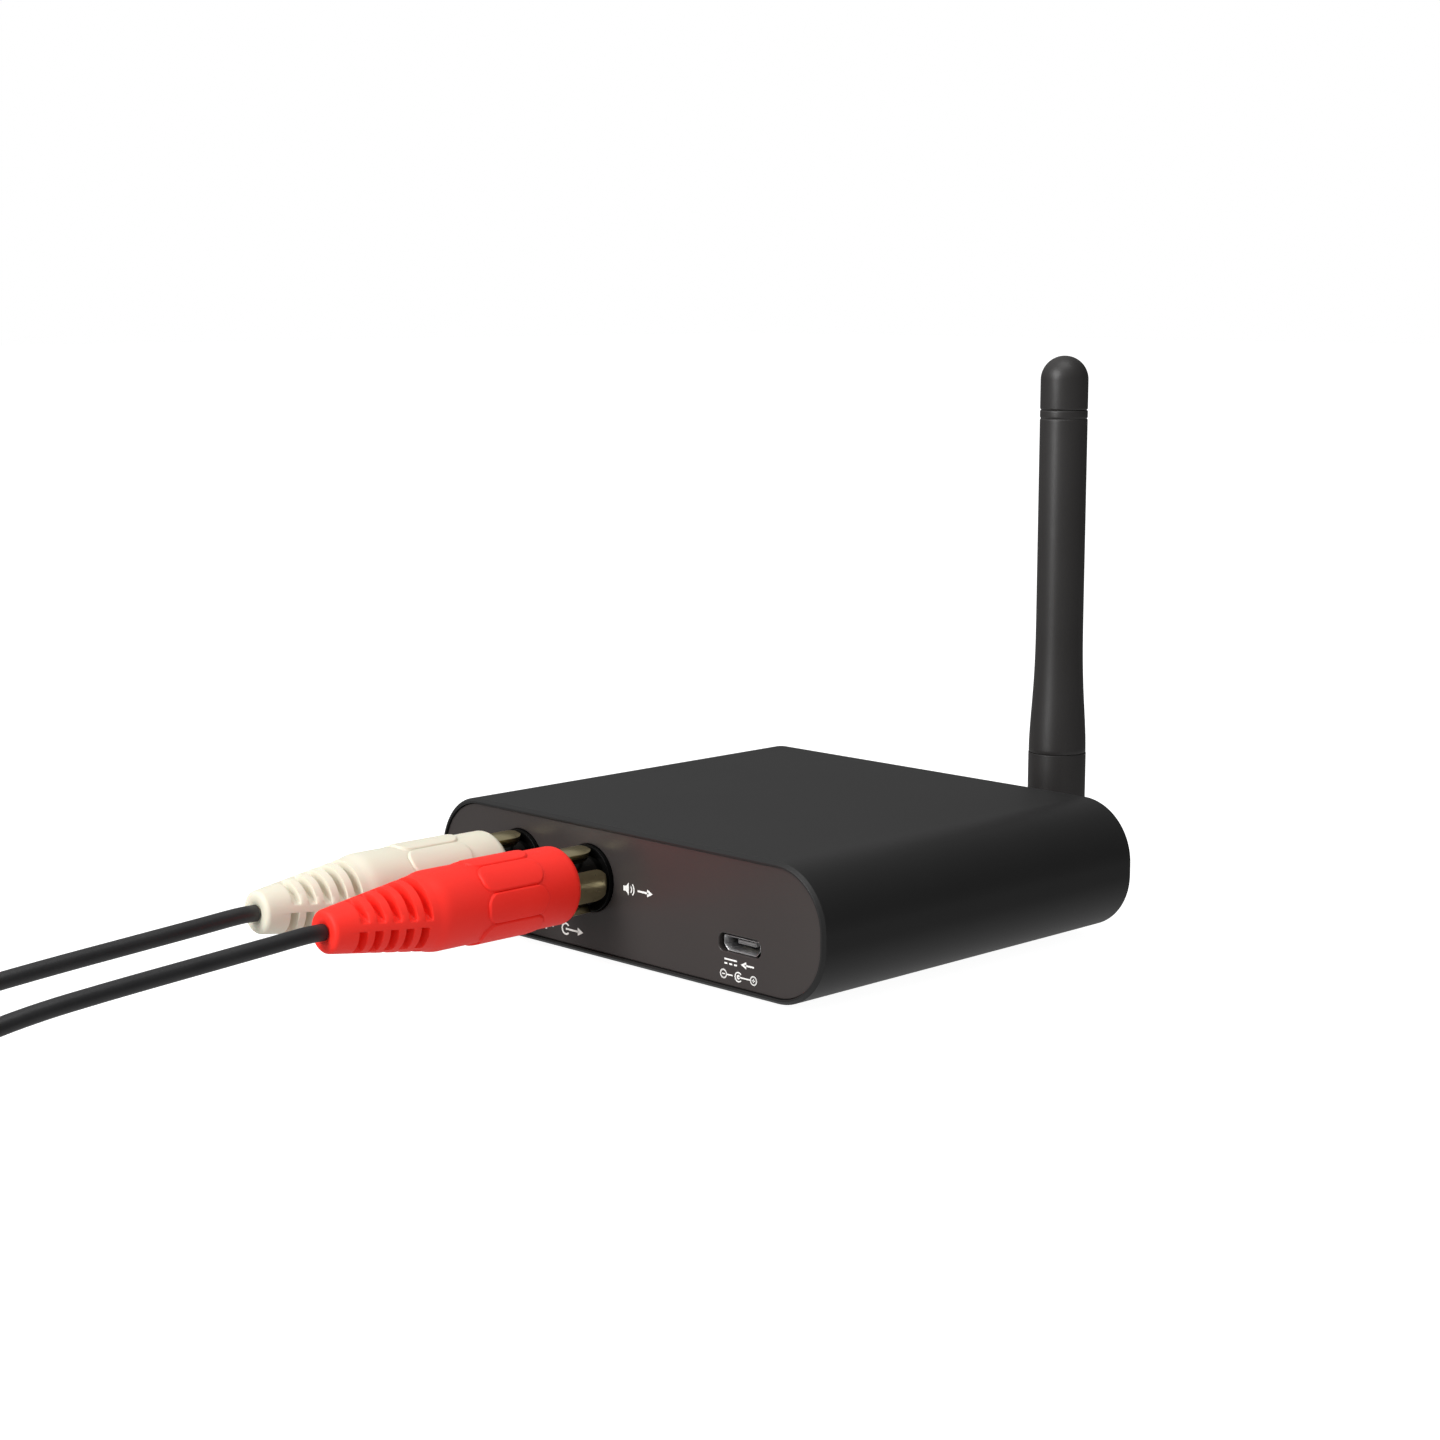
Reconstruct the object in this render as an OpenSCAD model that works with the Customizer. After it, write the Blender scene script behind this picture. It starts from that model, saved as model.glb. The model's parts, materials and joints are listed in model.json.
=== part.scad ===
// Bluetooth audio receiver: an extruded case with a hinged rod antenna and a plugged-in stereo phono lead.
// Millimetres, +Z up. X runs along the rear panel, +Y points from the rear panel to the antenna end.
// The origin is on the table, under the middle of the case.

/* [Case] */
// Width of the extruded sleeve, along X
case_w = 86; // [82:1:100]
// Depth of the sleeve, from end to end along Y
case_d = 71.5; // [71.5:0.5:90]
// Height of the sleeve without its rubber mat
case_h = 21; // [21:0.5:24]
// Corner radius of the sleeve, seen from the end
corner_r = 9.5; // [8.5:0.1:10]
// Wall of the extrusion
wall = 1.3; // [1:0.1:1.5]
// Thinner wall of the sleeve round each end panel
rim_wall = 0.8; // [0.8:0.1:1]
// Chamfer round the sleeve's ends
rim_chamfer = 0.5; // [0.3:0.1:0.6]
// Thickness of the end panels
panel_t = 1.5; // [1.2:0.1:1.8]
// Depth that the panels sit back from the sleeve's rim
panel_recess = 0.4; // [0.3:0.1:0.6]
// Thickness of the rubber mat that the case stands on
mat_t = 1; // [0.8:0.1:1.5]

/* [Phono jacks] */
// Middle of the pair of jacks, along X
jacks_x = -15.15; // [-18:0.05:-14]
// Distance between the jacks' axes
jack_pitch = 16.5; // [14:0.1:17]
// Height of the jacks' axes above the case's underside
jack_up = 12.2; // [11.8:0.1:12.6]
// Radius of the jack block's round noses in the panel
nose_r = 5.25; // [5:0.05:5.8]
// Height of the noses in front of the panel's face
nose_proud = 0.7; // [0.4:0.1:1]
// Length of a jack's barrel in front of the panel
barrel_len = 8.5; // [8:0.1:9]

/* [Phono plugs] */
// Gap between the panel's rim and the moulded body of a seated plug
plug_gap = 6.3; // [6:0.1:7]
// Length of the moulded body with its strain relief
plug_len = 43.7; // [42:0.1:46]
// Largest radius of the moulded body, over the grip pads
grip_r = 6.35; // [6.2:0.05:6.8]
// Radius of the gold shell
shell_r = 5.25; // [5.1:0.05:5.5]
// Length of the shell's petals in front of the body
petal_len = 5.8; // [4.5:0.05:5.8]
// Radius of the centre pin
pin_r = 1.6; // [1.55:0.01:1.65]
// Length of the centre pin in front of the body
pin_len = 8; // [7:0.1:9]

/* [Cords] */
// Diameter of each cord
cord_d = 2.55; // [2.4:0.05:2.6]
// Radius at the middle of a coil's turns
coil_r = 14.2; // [13.5:0.1:15]

/* [Antenna] */
// Distance of the connector's axis from the middle of the case, along X
antenna_x = 12.4; // [8:0.1:20]
// Distance of the upright rod's axis from the sleeve's rim
antenna_out = 19; // [19:0.1:22]
// Height of the rod's tip above the connector's axis
antenna_len = 78.5; // [70:0.5:110]
// Radius of the rod's upper part
rod_r = 4; // [3.8:0.1:4.2]
// Radius of the collar at the rod's foot
collar_r = 4.9; // [4.8:0.1:5]

/* [Hidden] */
$fn = 64;
eps = 0.01;

// Places along Y
rear_rim = -case_d / 2;
front_rim = case_d / 2;
rear_face = rear_rim + panel_recess;
rear_inside = rear_face + panel_t;
front_face = front_rim - panel_recess;
front_inside = front_face - panel_t;
plug_face = rear_rim - plug_gap;
hinge_y = front_rim + antenna_out;

// Heights
case_mid = mat_t + case_h / 2;
axis_z = mat_t + jack_up;
board_t = 1.6;
board_top = mat_t + 5.9;
board_bottom = board_top - board_t;
roof = mat_t + case_h - wall;
tip_z = axis_z + antenna_len;
seam_z = axis_z + 11.2;

// Across the case
inner_r = corner_r - wall;
seat_r = corner_r - rim_wall;
side_r = case_w / 2 - corner_r;
board_half = side_r + 5.5;
right_x = jacks_x + jack_pitch / 2;
left_x = jacks_x - jack_pitch / 2;
usb_x = 25.7;
button_x = -22;
led_x = -10;
controls_z = board_top + 3.5;

// Running fits and gaps between pieces that move
fit = 0.05;
gap = 0.35;

// ---- helpers ----

// Turns local +Z to +Y and puts the origin at a point
module along_y(x, y, z) translate([x, y, z]) rotate([-90, 0, 0]) children();

// Turns local +Z to -Y and puts the origin at a point
module against_y(x, y, z) translate([x, y, z]) rotate([90, 0, 0]) children();

module tube(outer, inner, length) difference() {
  cylinder(r = outer, h = length);
  translate([0, 0, -1]) cylinder(r = inner, h = length + 2);
}

// Flat rounded rectangle, centred, made of true arcs
module round_rect(w, h, r) union() {
  square([w - 2 * r, h], center = true);
  square([w, h - 2 * r], center = true);
  for (sx = [-1, 1], sz = [-1, 1]) translate([sx * (w / 2 - r), sz * (h / 2 - r)]) circle(r = r);
}

// A round_rect standing across the case, from y0 towards +Y
module end_prism(w, h, r, y0, length) translate([0, y0, case_mid]) rotate([-90, 0, 0])
  linear_extrude(height = length) round_rect(w, h, r);

// The sleeve's outer block, with both ends chamfered
module chamfered_block(w, h, r, length, c) {
  flat = [[-length / 2, -h / 2 + c], [-length / 2 + c, -h / 2],
    [length / 2 - c, -h / 2], [length / 2, -h / 2 + c],
    [length / 2, h / 2 - c], [length / 2 - c, h / 2], [-length / 2 + c, h / 2], [-length / 2, h / 2 - c]];
  side = [for (p = flat) [sign(p[1]) * (abs(p[1]) - h / 2 + w / 2), p[0]]];
  translate([r - w / 2, 0, 0]) rotate([90, 0, 90]) linear_extrude(height = w - 2 * r) polygon(flat);
  translate([0, 0, r - h / 2]) linear_extrude(height = h - 2 * r) polygon(side);
  for (sx = [-1, 1], sz = [-1, 1])
    translate([sx * (w / 2 - r), -length / 2, sz * (h / 2 - r)]) rotate([-90, 0, 0])
      rotate_extrude() polygon([[0, 0], [r - c, 0], [r, c], [r, length - c], [r - c, length], [0, length]]);
}

// A block standing on the board: x and y are its middle
module on_board(x, y, size) translate([x - size[0] / 2, y - size[1] / 2, board_top]) cube(size);

// A chip with two rows of leads along its long sides, which it stands on
lead_w = 0.4;
lead_t = 0.5;
lead_inside = 0.1;
chip_lift = 0.1;

module leaded_chip(x, y, size, leads, pitch, foot) {
  translate([0, 0, chip_lift]) on_board(x, y, size);
  for (i = [0:leads - 1], s = [-1, 1])
    on_board(x + (i - (leads - 1) / 2) * pitch, y + s * (size[1] + foot - lead_inside) / 2,
      [lead_w, foot + lead_inside, lead_t]);
}

function unit(v) = v / norm(v);
// Direction of a route at its point number i
function heading(p, i) = unit(p[min(i + 1, len(p) - 1)] - p[max(i - 1, 0)]);
// A level direction across the route, and the one square to both
function across(t) = unit(cross(t, [0, 0, 1]));
function ring_at(c, t, r, sides) = [for (k = [0:sides - 1]) let (a = 360 * k / sides)
  c + r * (cos(a) * across(t) + sin(a) * cross(across(t), t))];

// A closed tube swept along a route's points
module swept(route, r, sides = 8) {
  n = len(route);
  rings = [for (i = [0:n - 1]) each ring_at(route[i], heading(route, i), r, sides)];
  walls = [for (i = [0:n - 2], k = [0:sides - 1]) let (a = i * sides + k, b = i * sides + (k + 1) % sides)
    [a, b, b + sides, a + sides]];
  start = [[for (k = [sides - 1:-1:0]) k]];
  finish = [[for (k = [0:sides - 1]) (n - 1) * sides + k]];
  polyhedron(points = rings, faces = concat(walls, start, finish), convexity = 4);
}

// ---- case ----

rail_end = front_inside - 0.2;
rail_under = [3.1, 2 * rail_end, 1.1];
rail_over = [4.8, 2 * rail_end, 0.9];
board_play = 0.1;
under_inset = 0.65;
over_outset = 0.2;

module case_sleeve() color([0.2, 0.2, 0.2]) union() {
  difference() {
    translate([0, 0, case_mid]) chamfered_block(case_w, case_h, corner_r, case_d, rim_chamfer);
    end_prism(case_w - 2 * wall, case_h - 2 * wall, inner_r, rear_rim - 1, case_d + 2);
    // Each end panel sits in a wider seat, against a shoulder
    for (y = [rear_rim - 1, front_inside])
      end_prism(case_w - 2 * rim_wall, case_h - 2 * rim_wall, seat_r, y, 1 + panel_recess + panel_t);
  }
  // Two ribs on each side hold the board's edges
  for (s = [-1, 1]) {
    translate([s * (board_half - under_inset) - rail_under[0] / 2, -rail_end, board_bottom - rail_under[2]])
      cube(rail_under);
    translate([s * (board_half + over_outset) - rail_over[0] / 2, -rail_end, board_top + board_play])
      cube(rail_over);
  }
}

tongue = [60, 4, 1];

// A panel's plate with a tongue along its top and its bottom, which grip the sleeve's roof and floor
module panel_blank(y0, tongue_y) {
  end_prism(case_w - 2 * rim_wall, case_h - 2 * rim_wall, seat_r, y0, panel_t);
  for (z = [mat_t + wall, roof - tongue[2]]) translate([-tongue[0] / 2, tongue_y, z]) cube(tongue);
}

usb_slot = [8.6, 2.7, 1];

module rear_panel() color([0.3, 0.27, 0.26]) difference() {
  panel_blank(rear_face, rear_inside - eps);
  for (x = [left_x, right_x]) along_y(x, rear_face - 1, axis_z) cylinder(r = nose_r + fit, h = panel_t + 2);
  translate([usb_x, rear_face - 1, board_top + usb_slot[1] / 2]) rotate([-90, 0, 0])
    linear_extrude(height = panel_t + 2) round_rect(usb_slot[0], usb_slot[1], usb_slot[2]);
}

thread_r = 3.15;
button_r = 2.4;
pipe_r = 1.1;
hole_play = 0.1;
button_fit = 0.07;

module front_panel() color([0.3, 0.27, 0.26]) difference() {
  panel_blank(front_inside, front_inside - tongue[1] + eps);
  along_y(antenna_x, front_inside - 1, axis_z) cylinder(r = thread_r + hole_play, h = panel_t + 2);
  along_y(button_x, front_inside - 1, controls_z) cylinder(r = button_r + button_fit, h = panel_t + 2);
  along_y(led_x, front_inside - 1, controls_z) cylinder(r = pipe_r, h = panel_t + 2);
}

mat_size = [62, 56, 5];

module base_mat() color([0.08, 0.08, 0.08])
  linear_extrude(height = mat_t) round_rect(mat_size[0], mat_size[1], mat_size[2]);

// ---- board and what stands on it ----

board_d = 2 * front_inside - 0.5;
chip_row = [2, 1.25, 0.8];
small_chip = [1.6, 0.8, 0.5];

module main_board() color([0.05, 0.25, 0.12])
  translate([-board_half, -board_d / 2, board_bottom]) cube([2 * board_half, board_d, board_t]);

module_at = [10, 14];
module_size = [13, 24, 0.8];
shield = [11.4, 15, 1.9];
shield_t = 0.3;

module bluetooth_module() color([0.05, 0.2, 0.35]) on_board(module_at[0], module_at[1], module_size);

module module_shield() color([0.75, 0.75, 0.76])
  translate([module_at[0], module_at[1] - 3, board_top + module_size[2]]) difference() {
    translate([-shield[0] / 2, -shield[1] / 2, 0]) cube(shield);
    translate([shield_t - shield[0] / 2, shield_t - shield[1] / 2, -1])
      cube([shield[0] - 2 * shield_t, shield[1] - 2 * shield_t, shield[2] - shield_t + 1]);
  }

module converter_chip() color([0.1, 0.1, 0.1]) leaded_chip(-8, 2, [6.5, 4.4, 1.1], 10, 0.65, 1);

module amplifier_chip() color([0.1, 0.1, 0.1]) leaded_chip(-14.5, -12, [5, 4, 1.5], 4, 1.27, 1);

module regulator() color([0.1, 0.1, 0.1]) leaded_chip(26, -14, [6.5, 3.5, 1.6], 3, 2.3, 1.2);

module power_inductor() color([0.25, 0.25, 0.26])
  translate([32, -4, board_top]) linear_extrude(height = 3) round_rect(6, 6, 1.2);

module crystal() color([0.75, 0.75, 0.76])
  translate([-2, 22, board_top]) linear_extrude(height = 3.4) round_rect(10.5, 4.2, 2);

can_r = 3.15;
can_h = 7.4;
can_base = [6.6, 6.6, 0.8];

module electrolytic_capacitors() color([0.72, 0.72, 0.74])
  for (p = [[-27, -10], [-27, -1], [-3, -12], [15, -12], [15, -4]]) {
    on_board(p[0], p[1], can_base);
    translate([p[0], p[1], board_top + can_base[2] - eps]) cylinder(r = can_r, h = can_h);
  }

module chip_components() color([0.55, 0.42, 0.3]) {
  for (i = [0:5]) on_board(-20 + 4 * i, 8, chip_row);
  for (i = [0:4]) on_board(-20 + 3 * i, -5, small_chip);
  for (i = [0:3]) on_board(23, -4 + 3 * i, chip_row);
}

// ---- phono jacks ----

jack_margin = 7.5;
block_size = [2 * jack_margin + jack_pitch, 10, 12.4];
jack_r = 4.15;
jack_bore_r = 3.55;
contact_r = 2.05;
jack_back = rear_inside + block_size[1] - 1;
barrel_tip = rear_face - barrel_len;
nose_face = rear_face - nose_proud;
insulator_in = 0.2;
contact_in = 0.5;

module phono_jack_block() color([0.06, 0.06, 0.06]) difference() {
  union() {
    translate([jacks_x - block_size[0] / 2, rear_inside, board_top]) cube(block_size);
    for (x = [left_x, right_x]) along_y(x, nose_face, axis_z)
      cylinder(r = nose_r, h = nose_proud + panel_t + 1);
  }
  for (x = [left_x, right_x]) along_y(x, nose_face - 1, axis_z)
    cylinder(r = jack_r, h = jack_back - nose_face + 1);
}

module jack_barrel(x) color([0.3, 0.29, 0.27])
  along_y(x, barrel_tip, axis_z) tube(jack_r, jack_bore_r, jack_back - barrel_tip);

module jack_insulator(x) color([0.9, 0.9, 0.88])
  along_y(x, barrel_tip + insulator_in, axis_z)
    tube(jack_bore_r, contact_r, jack_back - barrel_tip - insulator_in);

module jack_contact(x) color([0.85, 0.7, 0.35])
  along_y(x, barrel_tip + contact_in, axis_z)
    tube(contact_r, pin_r + fit, jack_back - barrel_tip - contact_in);

module right_jack_barrel() jack_barrel(right_x);
module left_jack_barrel() jack_barrel(left_x);
module right_jack_insulator() jack_insulator(right_x);
module left_jack_insulator() jack_insulator(left_x);
module right_jack_contact() jack_contact(right_x);
module left_jack_contact() jack_contact(left_x);

// ---- USB power socket ----

usb_shell = [7.6, 2.4, 0.7];
usb_wall = 0.3;
usb_front = rear_face + 0.6;
usb_depth = 6.1;
usb_tongue = [3.8, 4.8, 0.6];
usb_tongue_in = 1;
usb_tongue_up = 1.1;

module usb_socket_shell() color([0.7, 0.7, 0.72])
  translate([usb_x, usb_front, board_top + usb_shell[1] / 2]) rotate([-90, 0, 0]) difference() {
    linear_extrude(height = usb_depth) round_rect(usb_shell[0], usb_shell[1], usb_shell[2]);
    translate([0, 0, -1]) linear_extrude(height = usb_depth + 1 - usb_wall)
      round_rect(usb_shell[0] - 2 * usb_wall, usb_shell[1] - 2 * usb_wall, usb_shell[2] - usb_wall);
  }

module usb_socket_tongue() color([0.12, 0.12, 0.12])
  translate([usb_x - usb_tongue[0] / 2, usb_front + usb_tongue_in, board_top + usb_tongue_up])
    cube(usb_tongue);

// ---- status light and pairing button ----

led_y = front_inside - 5;
led_r = 1.5;
led_len = 2.4;
led_foot = 1.2;
pipe_back_r = 1.6;
pipe_proud = 0.3;

module status_led() color([0.85, 0.9, 0.95]) union() {
  along_y(led_x, led_y, controls_z) cylinder(r = led_r, h = led_len);
  translate([led_x - led_r, led_y - led_foot, board_top])
    cube([2 * led_r, led_foot + eps, controls_z - board_top + led_r]);
}

module light_pipe() color([0.8, 0.85, 0.9]) {
  along_y(led_x, led_y + led_len, controls_z) cylinder(r = pipe_back_r, h = front_inside - led_y - led_len);
  along_y(led_x, front_inside - eps, controls_z)
    cylinder(r = pipe_r, h = front_face + pipe_proud - front_inside);
}

switch_size = [6, 3.5, 7];
switch_y = front_inside - 8.5;
plunger_r = 1.65;
plunger_in = 1.9;
flange_r = 3.2;
flange_t = 1.2;
button_edge = 0.3;
button_proud = 0.9;
button_back = front_inside - gap - flange_t;
button_len = flange_t + gap + panel_t + button_proud;

module switch_body() color([0.12, 0.12, 0.12]) difference() {
  translate([button_x - switch_size[0] / 2, switch_y, board_top]) cube(switch_size);
  along_y(button_x, switch_y + 1, controls_z) cylinder(r = plunger_r + fit, h = switch_size[1]);
}

module switch_plunger() color([0.8, 0.75, 0.6])
  along_y(button_x, switch_y + plunger_in, controls_z)
    cylinder(r = plunger_r, h = button_back - switch_y - plunger_in);

module pair_button() color([0.1, 0.1, 0.1]) along_y(button_x, button_back, controls_z)
  rotate_extrude() polygon([[0, 0], [flange_r, 0], [flange_r, flange_t], [button_r, flange_t],
    [button_r, button_len - button_edge], [button_r - button_edge, button_len], [0, button_len]]);

// ---- antenna connector ----

thread_len = 9.5;
jack_end = front_face + thread_len;
hex_flats = 8;
hex_t = 2;
spout_r = 1.9;
spout_len = 5;
dielectric_r = 2.05;
socket_contact_r = 0.65;
washer_r = 4.6;
washer_t = 0.6;

module hex_prism(across_flats, length) cylinder(r = across_flats / sqrt(3), h = length, $fn = 6);

module antenna_jack() color([0.85, 0.7, 0.35]) along_y(antenna_x, front_inside, axis_z) difference() {
  union() {
    translate([0, 0, -hex_t]) hex_prism(hex_flats, hex_t);
    translate([0, 0, -spout_len]) cylinder(r = spout_r, h = spout_len - hex_t + eps);
    translate([0, 0, -eps]) cylinder(r = thread_r, h = jack_end - front_inside);
  }
  translate([0, 0, -1]) cylinder(r = dielectric_r, h = jack_end - front_inside + 2);
}

module antenna_jack_insulator() color([0.92, 0.92, 0.9]) along_y(antenna_x, front_inside - 1, axis_z)
  tube(dielectric_r, socket_contact_r, jack_end - front_inside - 1);

module antenna_jack_contact() color([0.85, 0.7, 0.35]) along_y(antenna_x, front_inside - 1, axis_z)
  tube(socket_contact_r, 0.4, jack_end - front_inside - 1.5);

module antenna_jack_washer() color([0.8, 0.66, 0.33]) along_y(antenna_x, front_face, axis_z)
  tube(washer_r, thread_r, washer_t);

module antenna_jack_nut() color([0.85, 0.7, 0.35])
along_y(antenna_x, front_face + washer_t, axis_z) difference() {
  hex_prism(hex_flats, hex_t);
  translate([0, 0, -1]) cylinder(r = thread_r, h = hex_t + 2);
}

// Thin coax from the module's snap-on socket to the back of the antenna jack
pigtail_r = 0.57;
snap_r = 1.25;
snap_h = 1.6;
pigtail_route = [[antenna_x, 28.85, 13.2], [antenna_x, 27, 13.1], [12.5, 25.4, 12.4], [12.9, 24.4, 11],
  [13.2, 23.6, 9.7], [13.5, 22.6, 8.9], [13.6, 21.2, 8.65]];

module antenna_pigtail() color([0.12, 0.12, 0.12]) {
  swept(pigtail_route, pigtail_r);
  translate([13.6, 20.2, board_top + module_size[2]]) cylinder(r = snap_r, h = snap_h);
}

// ---- antenna ----

nut_start = front_face + 3.1;
nut_end = nut_start + 9.6;
nut_r = 4.75;
nut_floor = 1.4;
flute_r = 0.35;
flutes = 12;
stem_r = 2.4;

module antenna_coupling_nut() color([0.1, 0.1, 0.1]) along_y(antenna_x, nut_start, axis_z) difference() {
  cylinder(r = nut_r, h = nut_end - nut_start);
  translate([0, 0, -1]) cylinder(r = thread_r, h = nut_end - nut_start - nut_floor + 1);
  cylinder(r = stem_r + fit, h = nut_end);
  for (i = [0:flutes - 1]) rotate([0, 0, 360 / flutes * i]) translate([nut_r, 0, -1])
    cylinder(r = flute_r, h = 7.6, $fn = 16);
}

hinge_r = 1;
tongue_r = 4.2;
tongue_half = 2.1;
cheek_r = 4.75;
cheek_in = tongue_half + gap;
base_start = nut_end + 0.3;
base_end = hinge_y - collar_r - gap;
flange_in_nut = [2.8, 0.7];
flange_play = 0.4;
stem_lap = 0.5;

// Stem and flange inside the coupling nut, a round foot, and a tongue that the rod's fork straddles
module antenna_base() color([0.1, 0.1, 0.1]) difference() {
  union() {
    along_y(antenna_x, nut_end - nut_floor - flange_play - flange_in_nut[1], axis_z)
      cylinder(r = flange_in_nut[0], h = flange_in_nut[1]);
    along_y(antenna_x, nut_end - nut_floor - stem_lap, axis_z)
      cylinder(r = stem_r, h = nut_floor + 2 * stem_lap);
    along_y(antenna_x, base_start, axis_z) cylinder(r = nut_r, h = base_end - base_start);
    translate([antenna_x, hinge_y, axis_z]) rotate([0, 90, 0])
      cylinder(r = tongue_r, h = 2 * tongue_half, center = true);
    translate([antenna_x - tongue_half, base_end - eps, axis_z - tongue_r])
      cube([2 * tongue_half, hinge_y - base_end + eps, 2 * tongue_r]);
  }
  translate([antenna_x - 10, hinge_y, axis_z]) rotate([0, 90, 0]) cylinder(r = hinge_r, h = 20);
}

module antenna_hinge_pin() color([0.7, 0.7, 0.72])
  translate([antenna_x - cheek_r, hinge_y, axis_z]) rotate([0, 90, 0]) cylinder(r = hinge_r, h = 2 * cheek_r);

collar_start = axis_z + tongue_r + gap;
socket_r = 2.8;
spigot = 4.5;
feed_r = 0.7;

// One round bar: a fork round the hinge below, the collar above, and a spigot inside the sleeve
module antenna_knuckle() color([0.1, 0.1, 0.1]) difference() {
  union() {
    translate([antenna_x, hinge_y, collar_start]) rotate_extrude()
      polygon([[0, 0], [collar_r, 0], [collar_r, seam_z - collar_start], [socket_r, seam_z - collar_start],
        [socket_r, seam_z - collar_start + spigot], [0, seam_z - collar_start + spigot]]);
    intersection() {
      translate([antenna_x, hinge_y, axis_z - cheek_r])
        cylinder(r = collar_r, h = cheek_r + collar_start - axis_z + eps);
      for (s = [-1, 1]) translate([antenna_x + s * (cheek_in + 5), hinge_y, axis_z]) {
        rotate([0, 90, 0]) cylinder(r = cheek_r, h = 10, center = true);
        translate([-5, -cheek_r, 0]) cube([10, 2 * cheek_r, 10]);
      }
    }
  }
  translate([antenna_x - 10, hinge_y, axis_z]) rotate([0, 90, 0]) cylinder(r = hinge_r + fit, h = 20);
  translate([antenna_x, hinge_y, collar_start - 1]) cylinder(r = feed_r, h = 30);
}

cap_len = 9;
cap_plug = 3;
cap_seam = tip_z - cap_len;
flare_top = axis_z + 37;
// The rod swells in a smooth curve from its upper tube down to the collar
function flare(t) = rod_r + (collar_r - 0.05 - rod_r) * (0.5 - 0.5 * cos(180 * pow(1 - t, 1.7)));
rod_side = [for (i = [0:12]) [flare(i / 12), seam_z + (flare_top - seam_z) * i / 12]];
groove = [0.3, 0.15];
groove_z = cap_seam - 1.3;

module antenna_sleeve() color([0.1, 0.1, 0.1]) translate([antenna_x, hinge_y, 0]) rotate_extrude()
  polygon(concat([[socket_r, seam_z]], rod_side,
    [[rod_r, groove_z - groove[0]], [rod_r - groove[1], groove_z - groove[0] / 2],
      [rod_r, groove_z], [rod_r, cap_seam - groove[0] / 2], [rod_r - groove[1], cap_seam],
      [socket_r, cap_seam]]));

module antenna_cap() color([0.1, 0.1, 0.1]) translate([antenna_x, hinge_y, 0]) rotate_extrude()
  polygon(concat([[0, cap_seam - cap_plug], [socket_r, cap_seam - cap_plug], [socket_r, cap_seam],
      [rod_r - groove[1], cap_seam], [rod_r, cap_seam + groove[0] / 2]],
    [for (a = [0:7.5:90]) [rod_r * cos(a), tip_z - rod_r + rod_r * sin(a)]]));

radiator_r = 2.1;
radiator_bore = 1.8;
radiator_len = 24;
radiator_z = seam_z + 10;
disc_t = 0.8;
feed_end = cap_seam - 8;

module antenna_radiator() color([0.8, 0.6, 0.3]) translate([antenna_x, hinge_y, radiator_z])
  tube(radiator_r, radiator_bore, radiator_len);

module antenna_feed() color([0.55, 0.4, 0.25]) {
  translate([antenna_x, hinge_y, collar_start]) cylinder(r = feed_r, h = feed_end - collar_start);
  translate([antenna_x, hinge_y, radiator_z + radiator_len]) tube(radiator_r, feed_r, disc_t);
}

// ---- phono plugs: local z = 0 is the moulded body's front face, and the pin points to +z ----

shell_back = -6;
pin_back = -9;
insulator_len = 3.6;
saw_cut = 3;
nose_round = 1.2;
body_r = 6.05;
relief_start = -26.9;
relief_r = 5.65;
tail_r = 3.15;
pads = [-18.3, 11.3, 4.55];
slot_first = 2.6;
slot_pitch = 2.5;
slot_w = 1.2;
slot_turn = 31;
slot_web = 2.8;
window_half = 1.8;
window_web = 2.1;
window_back = 0.5;

function arc(c, r, a0, a1, n = 6) =
  [for (i = [0:n]) let (a = a0 + (a1 - a0) * i / n) c + r * [cos(a), sin(a)]];

body_profile = concat([[shell_r, 0], [shell_r, shell_back], [0, shell_back], [0, -plug_len]],
  arc([tail_r - 0.6, 0.6 - plug_len], 0.6, -90, 0), [[relief_r, relief_start]],
  arc([body_r - 2.2, relief_start + 2.1], 2.2, -30, 0),
  arc([body_r - nose_round, -nose_round], nose_round, 0, 60));

module plug_body() difference() {
  union() {
    rotate_extrude() polygon(body_profile);
    // Eight grip pads, as four bars right across
    for (i = [0:3]) rotate([0, 0, 45 * i]) intersection() {
      translate([0, 0, pads[0]]) tube(grip_r, shell_r + 0.3, pads[1]);
      translate([-10, -pads[2] / 2, pads[0]]) cube([20, pads[2], pads[1]]);
    }
  }
  translate([0, 0, pin_back]) cylinder(r = pin_r, h = shell_back - pin_back + 1);
  // Slots and windows that let the strain relief bend both ways
  rotate([0, 0, slot_turn]) for (i = [0:4], s = [0, 180]) rotate([0, 0, s])
    translate([0, 0, relief_start - slot_first - slot_pitch * i]) {
      translate([-10, slot_web, 0]) cube([20, 10, slot_w]);
      translate([window_web, -window_half, -window_back]) cube([10, 2 * window_half, slot_w]);
    }
}

module plug_shell() difference() {
  translate([0, 0, shell_back]) tube(shell_r, jack_r + fit, petal_len - shell_back);
  // Two crossing saw cuts leave four springy petals
  for (a = [45, 135]) rotate([0, 0, a]) translate([-saw_cut / 2, -10, -1]) cube([saw_cut, 20, petal_len + 2]);
}

module plug_insulator() translate([0, 0, shell_back]) tube(jack_r + fit, pin_r, insulator_len);

module plug_pin() rotate_extrude()
  polygon(concat([[0, pin_back], [pin_r, pin_back]], arc([0, pin_len - pin_r], pin_r, 0, 90, 8)));

module seated(x) along_y(x, plug_face, axis_z) children();

red = [0.95, 0.1, 0.08];
cream = [0.9, 0.88, 0.82];
gold = [0.85, 0.7, 0.35];

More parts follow.
